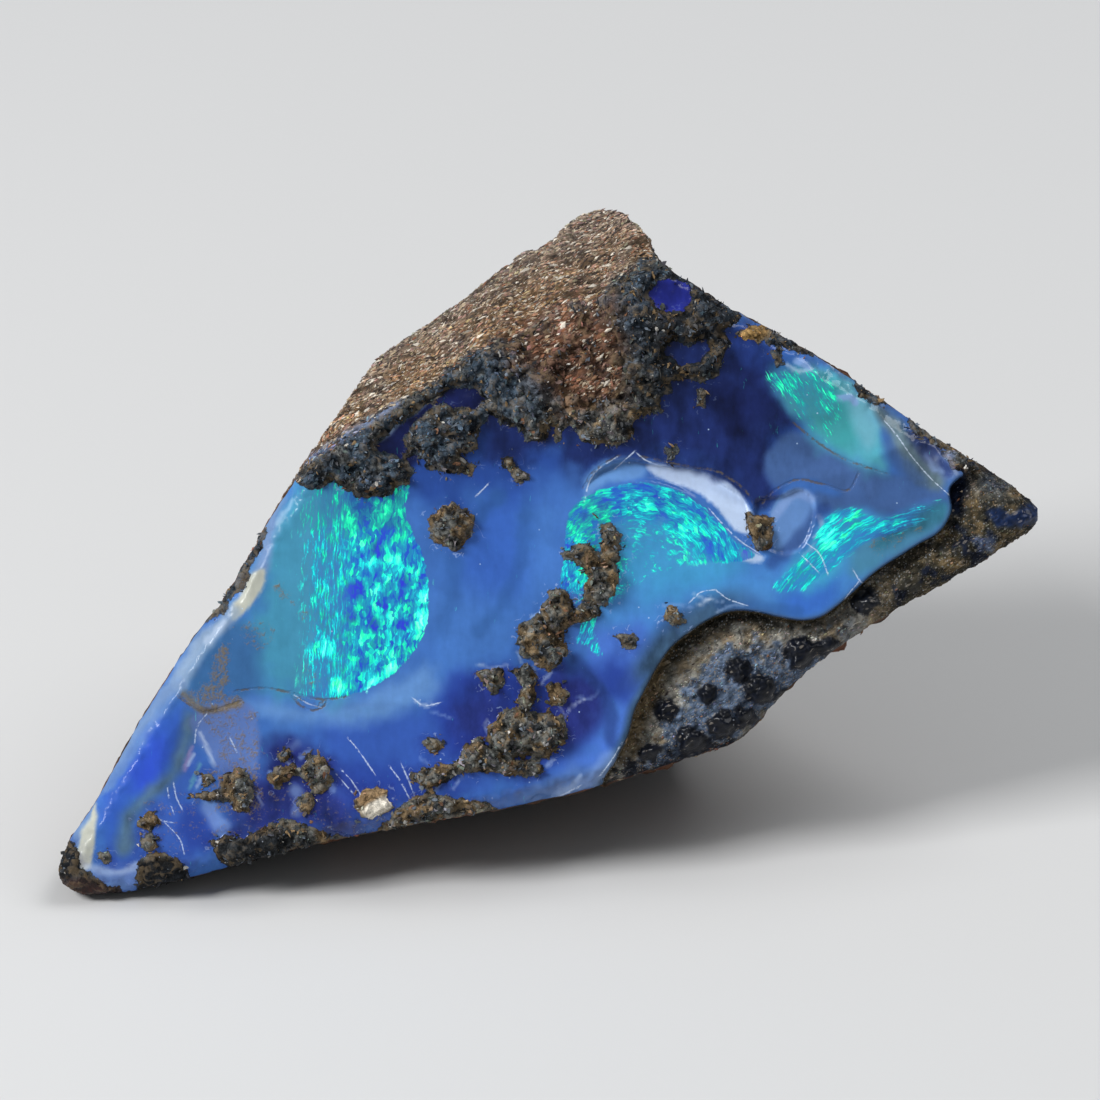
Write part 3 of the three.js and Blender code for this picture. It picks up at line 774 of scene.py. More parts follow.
# Colours as a screen shows them, from 0 to 255.
opalColours = {
    "milky": (66, 114, 190),
    "milkyPale": (76, 128, 204),
    "midBlue": (42, 76, 152),
    "navy": (25, 39, 90),
    "royal": (50, 90, 196),
    "violetMid": (56, 94, 182),
    "violetDeep": (38, 62, 150),
    "navyLow": (37, 46, 112),
    "navyLeft": (36, 48, 112),
    "belowDisc": (102, 150, 213),
    "tealLeft": (72, 150, 184),
    "archSea": (70, 160, 212),
    "tealDark": (46, 104, 124),
    "waveHaze": (72, 186, 216),
    "hazeGreen": (66, 168, 172),
    "navyDeep": (14, 22, 62),
    "navyLit": (36, 62, 132),
    "blueLeft": (60, 108, 162),
    "facetBlue": (54, 96, 190),
    "facetBright": (50, 82, 206),
    "facetLow": (60, 98, 184),
    "olive": (84, 112, 124),
    "lilac": (98, 126, 190),
    "sky": (76, 142, 212),
    "skyDeep": (56, 106, 206),
    "armBlue": (78, 122, 214),
    "bottomGrey": (82, 116, 172),
    "slate": (66, 96, 148),
    "chipBlue": (104, 146, 206),
    "haze": (88, 176, 196),
    "hazePale": (116, 180, 200),
    "greyClear": (94, 112, 116),
    "clearSea": (78, 142, 168),
    "paleArc": (104, 152, 212),
    "crescent": (196, 216, 247),
    "potch": (142, 164, 188),
    "potchBlue": (112, 142, 186),
    "windowNavy": (20, 28, 74),
    "navyRight": (40, 54, 100),
    "indigo": (32, 40, 124),
    "lilacGrey": (116, 128, 168),
    "white": (214, 226, 246),
    "paleBlue": (142, 172, 226),
    "shadowBlue": (38, 62, 124),
    "veinDark": (46, 88, 148),
    "rust": (142, 110, 68),
    "rosy": (212, 158, 194),
    "mint": (128, 212, 188),
    "cream": (190, 192, 180),
    "lipGrey": (54, 78, 98),
    "lipBlue": (70, 104, 150),
}
# Which colour lies where: its name, how softly it ends, how strong it is and its outline.
opalTints = [
    ("midBlue", 1.3, 1, path(
        -9.7, 7.5, -5, 9.4, 0.6, 6.9, 5.6, 6.6, 9.4, 8.1, 11.9, 13.8, 15, 11.2, 16.2, 7.5, 13.8, 4.4,
        13.1, 2.5, 9.4, 5, 2.5, 4.4, 0.6, 3.1, -3.1, 3.6, -6.9, 2.8, -9.1, 3.8,
    )),
    ("navy", 0.8, 1, path(
        -9.4, 9.7, -5, 9.7, -4.1, 6.9, -3.1, 5.5, 0.6, 6.4, 3.1, 5.9, 5.6, 6.5, 8.1, 5.9, 11.6, 4.4,
        13.4, 3.1, 14.1, 5, 13.8, 6.9, 15.6, 7.8, 14.7, 9.7, 13.8, 11.6, 12.8, 13.4, 8.8, 13.8, 3.1, 10.6,
        -4.4, 10.6,
    )),
    ("windowNavy", 0.4, 1, path(
        -11.2, 5.6, -10.9, 7.2, -7.5, 9.9, -4.4, 10.8, -3.4, 9.4, -5, 8.2, -7.5, 8, -8.9, 5,
    )),
    ("indigo", 0.4, 1, path(5.6, 16.2, 6.6, 17.2, 8.8, 17.1, 9.5, 15.6, 8.4, 14.5, 6.4, 14.6)),
    ("navy", 0.4, 1, path(6.6, 12.8, 9.4, 13.8, 10.8, 12.8, 9.8, 11.1, 7.1, 11.1)),
    ("navy", 0.6, 0.7, path(0.6, 6.9, 3.1, 6.5, 2.6, 5, 1.8, 3.6, 1, 4.4)),
    ("royal", 1.5, 0.4, path(-5, 3.4, -1.9, 3.9, -1.2, 0.6, -1.9, -2.5, -4.4, -3.4, -5.8, -0.6, -5.5, 1.9)),
    ("milkyPale", 1.5, 0.6, path(-7.5, -3.1, -3.1, -3.1, -1.9, -5.6, -4.4, -7.2, -6.9, -7.5, -7.8, -5.6)),
    ("milkyPale", 1.2, 0.6, path(-0.6, 4.4, 1.9, 5, 2.5, 3.1, 0.8, 1.9, 0.3, -3.1, -0.9, -3.1, -1.2, 1.9)),
    ("violetMid", 1.4, 1, path(
        -14.4, -10.6, -9.4, -9.7, -5, -8.1, -0.6, -7.2, 3.1, -7.5, 3.1, -11.9, 0.6, -14.4, -5.6, -15,
        -9.4, -15.6, -13.1, -15.6, -14.7, -13.1,
    )),
    ("violetDeep", 1, 0.9, path(
        -6.9, -8.8, -3.1, -7.9, 0.6, -7.4, 3, -8.1, 3.1, -11.2, 0.6, -13.1, -4.4, -13.4, -6.6, -11.9,
    )),
    ("violetDeep", 1, 0.7, path(-13.1, -13.8, -8.1, -13.8, -5.6, -15, -9.4, -16.2, -12.5, -16.6)),
    ("navyLow", 0.8, 0.9, path(-0.1, -7.6, 3.1, -8.2, 3.4, -10.8, 1.2, -12.4, 0.1, -10.8)),
    ("navyLow", 0.8, 0.7, path(-6.1, -9.7, -3.2, -8.9, -3.1, -10.9, -5, -11.8)),
    ("navyLeft", 1, 1, path(
        -19.6, -15.6, -18, -14.2, -18, -12.2, -15.6, -12, -12.8, -15, -12.4, -17.6, -15.6, -17.4,
        -18.4, -18.2, -19.7, -17.6,
    )),
    ("belowDisc", 0.7, 1, path(
        -19.4, -9.2, -15.6, -9.6, -12.8, -9.4, -10, -8.5, -7.8, -7, -6.9, -8.8, -10, -10.4, -14.4, -10.9,
        -18.1, -10.5,
    )),
    ("tealLeft", 1.3, 1, path(-17, 3.1, -12.8, 3.9, -12.5, -9, -18, -8.6, -19.7, -6.2, -18.2, -2.5)),
    ("blueLeft", 1, 1, path(
        -21.9, -5.6, -19.4, -4.6, -18, -6.9, -18.4, -8.8, -20, -9.4, -23.1, -8.9, -22.6, -7.2,
    )),
    ("facetBlue", 0.8, 1, path(
        -22.6, -10.1, -24.1, -14.4, -25.9, -15.6, -27.4, -18.4, -28.2, -16.2, -26.4, -12.8, -24.4, -10.1,
    )),
    ("facetBright", 0.9, 0.9, path(-25, -11.6, -23.9, -12.2, -24.6, -14.5, -26.1, -15)),
    ("facetLow", 1, 1, path(
        -23, -11.6, -21.6, -13.8, -22.2, -15, -21.2, -18.8, -25, -20.9, -27.8, -20.3, -27, -17.8,
        -25, -15.9, -23.8, -13.8,
    )),
    ("violetDeep", 0.6, 0.7, path(-22.8, -16, -21, -16.1, -21.2, -18.8, -22.8, -18.8)),
    ("olive", 0.45, 0.8, path(
        -22.8, -10.1, -22.1, -10.4, -22.5, -12.2, -23.4, -14.4, -25, -15.6, -25.8, -16.6, -26.2, -18.8,
        -26.9, -18.9, -26.8, -16.6, -25.6, -15.4, -24.1, -14.1, -23.2, -12,
    )),
    ("lilac", 0.25, 0.9, path(
        -22.5, -10.4, -19.1, -9.4, -18.4, -10.1, -18.4, -13.6, -20.3, -14.1, -21.1, -13.2, -22.1, -11.8,
    )),
    ("sky", 1.2, 1, path(
        3.1, -1.2, 5.6, 0, 13.1, -0.6, 15.6, -1.2, 20, 0, 20.9, -0.9, 18.8, -3.1, 16.9, -4.2, 13.1, -3.6,
        9.4, -3.4, 6.6, -4.7, 4.4, -5.6, 2.5, -4.4,
    )),
    ("skyDeep", 0.8, 0.7, path(14.4, -1.9, 17.5, -1.6, 17.9, -3.4, 16.4, -4.2, 14.7, -3.8)),
    ("armBlue", 0.9, 0.9, path(
        2.4, -5.6, 5.6, -4.7, 6.1, -8.1, 5.1, -11.6, 3.4, -14.1, 0.9, -15, 0.4, -13.8, 3.1, -11.2,
        3.9, -8.8,
    )),
    ("violetDeep", 0.6, 0.8, path(3.4, -7.1, 5.1, -7.4, 5, -9.5, 3.6, -9.1)),
    ("bottomGrey", 0.6, 0.8, path(-1.9, -15.3, 3.1, -13.4, 4.7, -13.9, 3.1, -16, -0.6, -16.8)),
    ("slate", 0.3, 1, path(
        13.5, 5.9, 15, 7.5, 16.4, 6.9, 18.8, 5.5, 20.8, 4.7, 20.1, 3.1, 19.4, 4.2, 18.5, 3.6, 16.6, 4.2,
        15.5, 4.5, 14.1, 4, 13.4, 4.9,
    )),
    ("slate", 0.35, 0.9, path(
        18.8, 4.4, 21.2, 4.8, 24.4, 4.1, 24.8, 3.1, 23.1, 2.9, 20.6, 2.1, 19.7, 2.6, 16.9, 2.4, 16.5, 3.8,
        18.1, 3.5,
    )),
    ("chipBlue", 0.12, 1, path(
        13.8, 2.4, 14.6, 3.5, 15.6, 3.9, 16.4, 3.4, 16.7, 2.4, 15.6, 0, 14.4, -0.4, 13.8, 0.6, 13.8, 1.8,
    )),
    ("tealLeft", 0.5, 0.7, path(13.6, 11, 16, 11.4, 16.4, 10.2, 15.8, 8.8, 14.8, 9.1, 13.9, 10)),
    ("haze", 0.7, 1, path(
        15, 9.9, 15.6, 11.4, 17.8, 11.1, 19.8, 9.8, 20.6, 7.8, 21.1, 4.9, 19.5, 5.4, 18, 6, 16.6, 7,
        15.3, 8.6,
    )),
    ("hazeGreen", 0.8, 0.8, path(
        15.8, 10.4, 18.2, 9.9, 19.1, 8.1, 18.9, 6.5, 17.9, 6.2, 16.4, 7.4, 15.6, 9,
    )),
    ("hazePale", 0.4, 0.8, path(18.4, 10.3, 20.1, 9.4, 20.6, 7.8, 19.9, 6.2, 18.9, 8.1)),
    ("greyClear", 0.35, 0.9, path(
        20.1, 9.2, 22.4, 7.8, 23.9, 5.9, 24.9, 4, 23.8, 3.8, 21.9, 5.5, 20.9, 7.5,
    )),
    ("slate", 0.3, 0.7, path(20.8, 7.6, 22.1, 5.9, 23.8, 4.2, 22.2, 4.5, 21, 5.9)),
    ("clearSea", 0.5, 0.8, path(
        19.1, 0.6, 21.9, 1.4, 24.7, 2.8, 25, 1.9, 23.8, 0.8, 21.2, -0.6, 19.1, -1.6,
    )),
    ("archSea", 1.2, 0.9, path(
        2.9, 1.9, 5.6, 2.4, 8.8, 2.1, 11.6, 0.1, 11.9, -1.2, 8.8, -2.5, 5, -2.6, 2.9, -1.2,
    )),
    ("tealDark", 0.4, 0.8, path(
        20.1, 0.3, 20.9, 1.6, 23.4, 2.8, 24.9, 3, 24.9, 2.2, 23.8, 1.5, 21.9, 0.8, 20.8, 0,
    )),
    ("tealDark", 0.8, 0.4, path(13.6, 11.2, 15.6, 11.4, 17.5, 10.3, 18.1, 8.4, 16.2, 8.1, 14.7, 9.4)),
    ("waveHaze", 0.7, 0.8, path(
        14.4, -2.4, 15.4, -0.8, 16.4, 0.8, 17.4, 2.1, 19.4, 2.4, 20.8, 1.8, 20, 0.9, 18.8, 0, 17.9, -1.1,
        16.4, -2.5,
    )),
    ("paleArc", 0.25, 1, path(
        2.1, 4.4, 2.8, 5.2, 4.4, 5.8, 6.4, 5.5, 5.8, 4.5, 3.8, 4.2, 2.6, 3.4, 2.2, 2.8,
    )),
    # painted highlight: the crescent's pale slope faces up, and its colour is brightened to near white as if
    # lit from above
    ("crescent", 0.12, 1, path(
        5.9, 5.4, 9.4, 4.9, 10.9, 4.4, 12.1, 3.2, 12.8, 1.9, 12.5, 1, 11.6, 1.2, 10.5, 2.6, 9, 3.8,
        6.6, 4.6,
    )),
    ("navyRight", 0.4, 0.8, path(22.8, 7.6, 23.8, 6.9, 24.4, 5.8, 23.6, 5.5, 22.9, 6.5)),
    # painted highlight as well, on a small pale facet beside the crescent
    ("crescent", 0.1, 0.9, path(11.8, 0.1, 12.6, -0.1, 13.4, -0.5, 13.1, -0.8, 12, -0.6)),
    ("potchBlue", 0.3, 1, path(
        -16.5, 3.6, -17.5, 0.3, -17.8, -1.9, -18.9, -3.5, -19.8, -4.5, -21.5, -5.9, -23.1, -8.4,
        -24.9, -10.5, -27, -13.6, -28.4, -15.8, -28.9, -19.9, -29.5, -20, -29.9, -18.1, -29.1, -16.4,
        -28.1, -14.5, -26.2, -11.4, -24.4, -8.6, -22.8, -6.4, -21.7, -4.9, -20.5, -4.4, -19.5, -3.1,
        -18.6, -1.4, -18.1, 0.3, -17.4, 2.8,
    )),
    ("cream", 0.12, 1, path(
        -17.9, -1.2, -17.9, -2.2, -18.7, -3.5, -19.8, -4.4, -19.9, -3.9, -19.2, -2.5, -18.8, -1.7,
    )),
    ("cream", 0.12, 1, path(
        -28.4, -15.8, -28.4, -18.1, -28.9, -20, -29.6, -19.9, -29.4, -18.1, -28.9, -16.9,
    )),
    ("potch", 0.3, 0.6, path(
        -15.3, 5.1, -13.1, 6.6, -11.6, 8, -9.4, 9.5, -8.6, 9.4, -10.3, 7.8, -12.8, 5.9, -14.9, 4.4,
    )),
]
# Soft strokes over the tints: colour, width, softness, strength and the line. Many white and pale blue
# strokes are painted highlights, glints on ridges and chip edges.
opalStrokes = [
    ("rust", 0.14, 0.3, 0.6, path(-22.9, -9, -22.1, -9.8, -21.4, -10.1, -20.5, -9.9, -19.4, -9.6)),
    # painted highlights: glints between the pale chip and the wave
    ("white", 0.05, 0.1, 0.5, path(16.5, 0.8, 17, 1.2)),
    ("white", 0.05, 0.1, 0.43, path(17.9, 1.8, 18.5, 2)),
    ("white", 0.05, 0.1, 0.43, path(17.1, 0.2, 17.8, 0.6)),
    ("white", 0.05, 0.1, 0.37, path(15.6, -1, 16.4, -0.6)),
    # painted highlight: one iridescent glint, a white core with rosy and mint fringes
    ("white", 0.08, 0.14, 0.56, path(-21.9, -11.4, -21.4, -12.5, -21, -13.5)),
    ("rosy", 0.08, 0.14, 0.43, path(-22.9, -13.8, -22.6, -12.9, -22.4, -12.3)),
    ("mint", 0.08, 0.14, 0.43, path(-22.5, -14.8, -22.2, -14.1, -21.9, -13.4)),
    ("white", 0.08, 0.12, 0.56, path(-22.6, -13.4, -22.3, -12.8)),
    ("white", 0.08, 0.12, 0.5, path(-22.1, -14.9, -21.8, -14.1)),
    ("paleBlue", 0.5, 0.5, 0.6, path(-21.4, -16, -21, -16.8, -20.5, -17.5)),
    # painted highlights: glassy streaks along the left tip's lower edge
    ("white", 0.2, 0.3, 0.6, path(-28.9, -19.8, -28, -20.1, -26.9, -20.2, -25.8, -19.8)),
    ("paleBlue", 0.6, 0.6, 0.6, path(-28.4, -20.4, -26.5, -20.8, -25, -20.1)),
    ("white", 0.06, 0.12, 0.5, path(-0.6, -8.4, -0.2, -7.9, 0.1, -7.6)),
    ("paleBlue", 0.08, 0.12, 0.43, path(1.8, -9.2, 2.5, -9.4, 3, -8.9)),
    ("white", 0.05, 0.1, 0.5, path(1.1, -10.1, 1.6, -9.6, 2.2, -9.3)),
    ("white", 0.08, 0.14, 0.43, path(-0.2, -13.5, 0.2, -13.1)),
    ("white", 0.05, 0.1, 0.5, path(-8.4, -9.4, -7.9, -9.8, -7.5, -9.5)),
    ("white", 0.05, 0.1, 0.43, path(-7.8, -9.9, -7.2, -9.6)),
    ("paleBlue", 0.06, 0.1, 0.43, path(-7.4, -10.1, -6.2, -10.5)),
    ("white", 0.06, 0.1, 0.5, path(-0.6, -3.8, -0.1, -3.4, 0.4, -3)),
    ("white", 0.05, 0.1, 0.43, path(-1.2, -4.2, -0.6, -3.9)),
    ("white", 0.06, 0.12, 0.5, path(-1.6, -4.9, -1.5, -5.6)),
    ("white", 0.06, 0.12, 0.43, path(-2, -6.4, -1.8, -7)),
    ("paleBlue", 0.1, 0.12, 0.37, path(-1.6, -7.6, -1, -8.1)),
    ("white", 0.08, 0.12, 0.5, path(-1.1, -7.4, -0.8, -8)),
    ("white", 0.05, 0.1, 0.43, path(-4.6, -7.1, -3.6, -7.4, -2.6, -7.2)),
    ("white", 0.05, 0.1, 0.43, path(-3.9, -10.6, -4.1, -11.1, -3.8, -11.6)),
    ("white", 0.05, 0.1, 0.43, path(0.6, -9.8, 1, -10.4, 0.8, -10.9)),
    ("paleBlue", 0.1, 0.14, 0.43, path(-8.1, -13, -7.6, -13.4)),
    ("white", 0.05, 0.1, 0.5, path(-7.2, -15.1, -6.8, -14.5, -6.5, -14.1)),
    ("white", 0.05, 0.1, 0.43, path(-6.1, -14.9, -5.5, -14.2)),
    ("paleBlue", 0.14, 0.16, 0.7, path(-17.5, -13.9, -17.1, -14.8)),
    ("paleBlue", 0.14, 0.16, 0.7, path(-15.6, -13, -15.1, -12.6)),
    ("white", 0.05, 0.1, 0.5, path(-16.5, -13.2, -15.9, -13.6)),
    ("paleBlue", 0.2, 0.2, 0.6, path(-14, -14.1, -13.6, -15)),
    ("white", 0.06, 0.1, 0.43, path(-18.4, -15.1, -18, -16)),
    ("paleBlue", 0.1, 0.12, 0.43, path(7.1, -3.5, 8.1, -3.4, 8.8, -3.6)),
    ("white", 0.05, 0.1, 0.5, path(9, -2.8, 9.8, -3.1, 10.8, -3.2)),
    ("white", 0.05, 0.1, 0.5, path(9.2, -3.5, 10.1, -3)),
    ("white", 0.05, 0.1, 0.43, path(10.4, -3.9, 11.4, -3.4, 12.2, -3.5)),
    ("white", 0.06, 0.12, 0.5, path(14.8, 11.6, 15.6, 11.1, 16.4, 11.4)),
    ("paleBlue", 0.2, 0.2, 0.8, path(15.4, 11.8, 16.1, 11.5)),
    ("paleBlue", 0.2, 0.2, 0.8, path(18, 9.5, 18.9, 9.6, 19.1, 9.2)),
    ("white", 0.05, 0.1, 0.43, path(19.2, 10.5, 20, 9.9, 20.9, 9.1)),
    ("navyDeep", 0.5, 1.2, 0.6, path(10.8, 9.9, 11, 8.8, 11.6, 7.9)),
    ("navyDeep", 0.5, 1.2, 0.6, path(12.2, 9.4, 13.1, 8.9)),
    ("navyDeep", 0.5, 1, 0.5, path(12, 11.8, 12.6, 11.1)),
    ("navyLit", 0.4, 1.2, 0.5, path(11.5, 12.8, 12.2, 12.4, 13, 12.1)),
    ("paleBlue", 0.2, 0.4, 0.4, path(-15.9, -12.1, -16.2, -12.4)),
    ("paleBlue", 0.3, 0.4, 0.6, path(-16, -15, -15.6, -15.6, -15.9, -16.4)),
    ("potch", 0.5, 0.5, 0.7, path(-19.9, -3.9, -20.9, -5, -21.9, -6.2, -22.6, -7.4, -23.2, -8.4)),
    ("white", 0.14, 0.3, 0.4, path(-20.4, -4.5, -21.4, -5.7)),
    ("potchBlue", 0.4, 0.5, 0.6, path(-23.2, -8.4, -25, -10.6, -26.6, -13, -27.8, -14.8)),
    ("white", 0.1, 0.2, 0.43, path(-16.1, 3.1, -16.6, 2.4, -17, 1.6)),
    ("shadowBlue", 0.25, 0.5, 0.6, path(1.6, -6.9, 2.9, -8.4, 3.9, -10.1, 3.8, -12)),
    ("veinDark", 0.25, 0.6, 0.5, path(-4.6, 2, -3.9, 2.8, -3, 3.5)),
    ("veinDark", 0.15, 0.7, 0.4, path(-1.5, 2.8, -1.6, 0.3, -2.2, -1.9, -3.2, -3.9, -4.5, -5.1)),
    ("veinDark", 0.2, 0.8, 0.35, path(-5.9, -0.9, -6.1, -3.1, -6.9, -5)),
    ("potch", 0.2, 0.3, 0.8, path(-10.6, 7, -9.1, 8.4, -7.1, 9.8)),
    ("veinDark", 0.2, 0.5, 0.4, path(10.6, -3.4, 12.8, -3.6, 15.6, -3.9)),
    ("white", 0.1, 0.2, 0.43, path(0.6, -15.3, 1.4, -14.8, 1.9, -14.1)),
    ("paleBlue", 0.5, 0.6, 0.5, path(0.6, -15.5, 2.5, -14.5, 3.8, -13.1)),
    ("paleBlue", 0.3, 0.3, 0.7, path(14.1, 2.2, 14.8, 3.2, 15.6, 3.6, 16.4, 3.2)),
    ("white", 0.12, 0.2, 0.5, path(16.8, 2.1, 17.2, 1.1, 16.6, 0.2, 16, -0.4)),
    ("white", 0.1, 0.15, 0.43, path(17.4, 1.4, 18.2, 1.9, 19.1, 2.1)),
    ("shadowBlue", 0.3, 0.5, 0.5, path(13.8, -0.8, 15.6, 0.6, 16.4, 1.9, 17.1, 2.6)),
    ("lilacGrey", 0.9, 0.6, 0.6, path(24.1, 6, 25, 5.2)),
    ("white", 0.1, 0.18, 0.34, path(23.8, 6.2, 24.1, 5.9, 24.3, 5.4)),
    ("paleBlue", 0.12, 0.16, 0.37, path(24.2, 5, 24.8, 4.9, 25.2, 4.6)),
    ("paleBlue", 0.12, 0.16, 0.37, path(23.5, 6, 23.8, 5.5, 24, 5)),
    ("white", 0.1, 0.14, 0.37, path(24.9, 5.7, 25.2, 5.2, 25.4, 4.8)),
    ("navy", 0.25, 0.25, 0.6, path(24.4, 5.5, 24.8, 5.2, 24.9, 4.8)),
    ("paleBlue", 0.12, 0.16, 0.37, path(24.4, 6.4, 24.9, 6.1, 25.4, 5.8)),
    ("navyRight", 0.6, 0.6, 0.8, path(23, 7.1, 23.9, 6.4)),
    # painted shade: a navy band along the crust's lower edge
    ("navy", 0.5, 0.7, 0.7, path(1.6, 5.9, 4.4, 6.4, 7.5, 5.9, 11.2, 4.9, 13.2, 3.2)),
]
archEdge = path(
    0.8, -0.6, 0.9, 1.2, 1.2, 2.4, 1.9, 3.2, 3.4, 3.9, 5.6, 4.3, 8.2, 3.6, 10.2, 2.1, 11.6, 0.6, 12.6, -0.1,
)
# Patches of play of colour: how softly each ends, and its outline.
fireOutlines = {
    "disc": (0.15, path(
        -16.1, 4, -8.8, 4, -9.1, 2.8, -8.6, 1.2, -8.1, 0.3, -7.7, -1.2, -7.6, -2.5, -7.7, -4.4, -8.2, -5.9,
        -9.1, -7, -10.3, -8.1, -11.9, -8.9, -13.1, -9.2, -15.5, -9.2, -17.6, -8.8, -18, -6.9, -16.8, -3.1,
        -16.8, 0.6,
    )),
    "arch": (0.3, path(
        0.8, -0.6, 0.9, 1.2, 1.1, 2.4, 1.9, 3.2, 3.4, 3.9, 4.4, 4.1, 5.6, 4.3, 6.9, 4.1, 8.2, 3.6, 9.4, 2.9,
        10.2, 2.1, 10.9, 1.4, 11.6, 0.6, 12.5, 0.1, 12.9, -0.4, 11.9, -0.8, 9.4, -1, 6.9, -1.6, 5.1, -2.5,
        3.9, -3.5, 2.5, -3.9, 1.4, -3.4, 0.5, -2.5,
    )),
    "wave": (0.5, path(
        13.8, -2.2, 15, -1, 16, 0.2, 16.6, 1.2, 17.1, 2.2, 18, 2.7, 19.1, 2.8, 19.9, 2.4, 20.9, 2.2,
        22, 2.6, 23.4, 3.2, 24.8, 3.4, 25, 2.6, 23.8, 1.7, 22, 0.9, 20.6, 0.4, 19.6, 0, 18.8, -0.5,
        18, -1.2, 17, -2, 15.9, -2.6, 14.4, -2.9,
    )),
    "corner": (0.6, path(
        13.4, 11.1, 15.1, 11.4, 16.8, 11.4, 17.8, 10.6, 18.5, 9.4, 18.9, 7.8, 18.8, 6.5, 18, 6.2, 16.6, 7,
        15.5, 8.1, 14.6, 9.4, 13.8, 10.1,
    )),
    "wedge": (0.3, path(
        1.5, -5.6, 2, -4.1, 3.1, -3.4, 2.9, -5.1, 3.4, -6.4, 3.6, -7.2, 2.5, -6.4, 1.8, -6,
    )),
}
# How the fire lies in each patch: how strong and how green it is, the share that is flakes and
# not streaks, its grain's direction in degrees or the middle that it turns about, and the line
# along which it fades in. The arch's falls off from its upper edge.
fireManner = {
    "disc": {"strength": 1, "flakes": 1, "green": 0.4, "angle": 88, "fade": (-17, 0, -12.6, 0)},
    "arch": {"strength": 1, "flakes": 0.8, "green": 0.3, "middle": (5.1, -2.6), "falls": (0.5, 3)},
    "wave": {"strength": 0.62, "flakes": 0.4, "green": 0.3, "middle": (25.3, -8.8),
             "fade": (26.5, 3.6, 21, 1.8)},
    "corner": {"strength": 0.6, "flakes": 0, "green": 0.95, "angle": -58, "fade": (19, 5, 15, 8.6)},
    "wedge": {"strength": 0.45, "flakes": 0.2, "green": 0.4, "angle": 70},
}
# Places where the fire is brighter or darker: x, y, radius and how much.
fireSpots = [
    (-10.6, 2.5, 0.6, 0.2), (-12.1, 1, 0.5, 0.15), (-11.4, 2.8, 1.5, -0.2), (2.2, 2.2, 0.4, -0.4),
    (3.4, 2.8, 0.4, -0.35), (1.1, 0.3, 0.4, -0.35), (2.5, 0.6, 0.4, -0.3), (-11.1, -0.8, 0.8, 0.35),
    (-9.6, -0.8, 0.7, 0.4), (-8.6, -1.4, 0.6, 0.3), (-7.9, -2.8, 0.8, 0.4), (-7.8, -4.2, 0.8, 0.4),
    (-8.5, -5.2, 0.7, 0.35), (-10.1, -4.2, 0.6, 0.3), (-9.9, -6.5, 0.7, 0.35), (-11.4, -8.2, 0.8, 0.3),
    (-13.2, -8.6, 0.8, 0.4), (-13.9, -6.2, 1.1, 0.3), (-12.1, -5.8, 0.5, 0.25), (-10.9, -0.1, 0.6, -0.6),
    (-12.1, -2.4, 0.7, -0.45), (-9.1, -1.9, 0.6, -0.45), (-11, -4.8, 0.6, -0.6), (-9.2, -4.8, 0.5, -0.55),
    (-11.8, -7.1, 0.6, -0.35), (-9.4, -3.1, 0.6, -0.2), (-12.8, 3.1, 0.8, -0.1), (-12.4, -4.1, 0.6, -0.3),
    (-9.7, 1.8, 0.9, -0.15), (-11.8, 2.6, 0.6, -0.1), (-10.8, 0.3, 0.6, -0.2), (-7.9, -2.2, 0.4, 0.15),
    (-7.8, -3, 0.4, 0.15), (-8.1, -3.8, 0.4, 0.2), (-8.3, -4.6, 0.4, 0.2), (-10.4, -7.9, 0.4, 0.35),
    (-10.9, -8.3, 0.4, 0.35), (-9.8, -7.4, 0.4, 0.35), (-11.7, -8.8, 0.4, 0.35), (-10.1, -1.6, 0.4, 0.3),
    (-10.8, -2.5, 0.4, 0.3), (3, 3.1, 1.2, 0.08), (1.6, 1.2, 0.9, 0.12), (5.6, 2.8, 0.9, 0.2),
    (8.8, 1.2, 1.1, 0.25), (4.4, 1.2, 0.6, -0.35), (6.9, 1.9, 0.6, -0.3), (5.6, -0.6, 1.2, -0.25),
    (17.4, 0.9, 1.2, 0.42), (17.9, 1.9, 0.5, 0.2), (18.9, 2, 0.5, 0.2), (19.8, 1.8, 0.6, 0.2),
    (15.6, -1.4, 0.9, -0.15), (20.6, 0.6, 0.8, -0.2), (21.9, 2, 1.2, -0.1), (-14.6, 3.2, 1.5, -0.3),
    (-12.5, 3.4, 0.9, -0.25), (-14.9, -0.6, 1.2, -0.1), (16.4, 8.9, 1.9, -0.2),
]
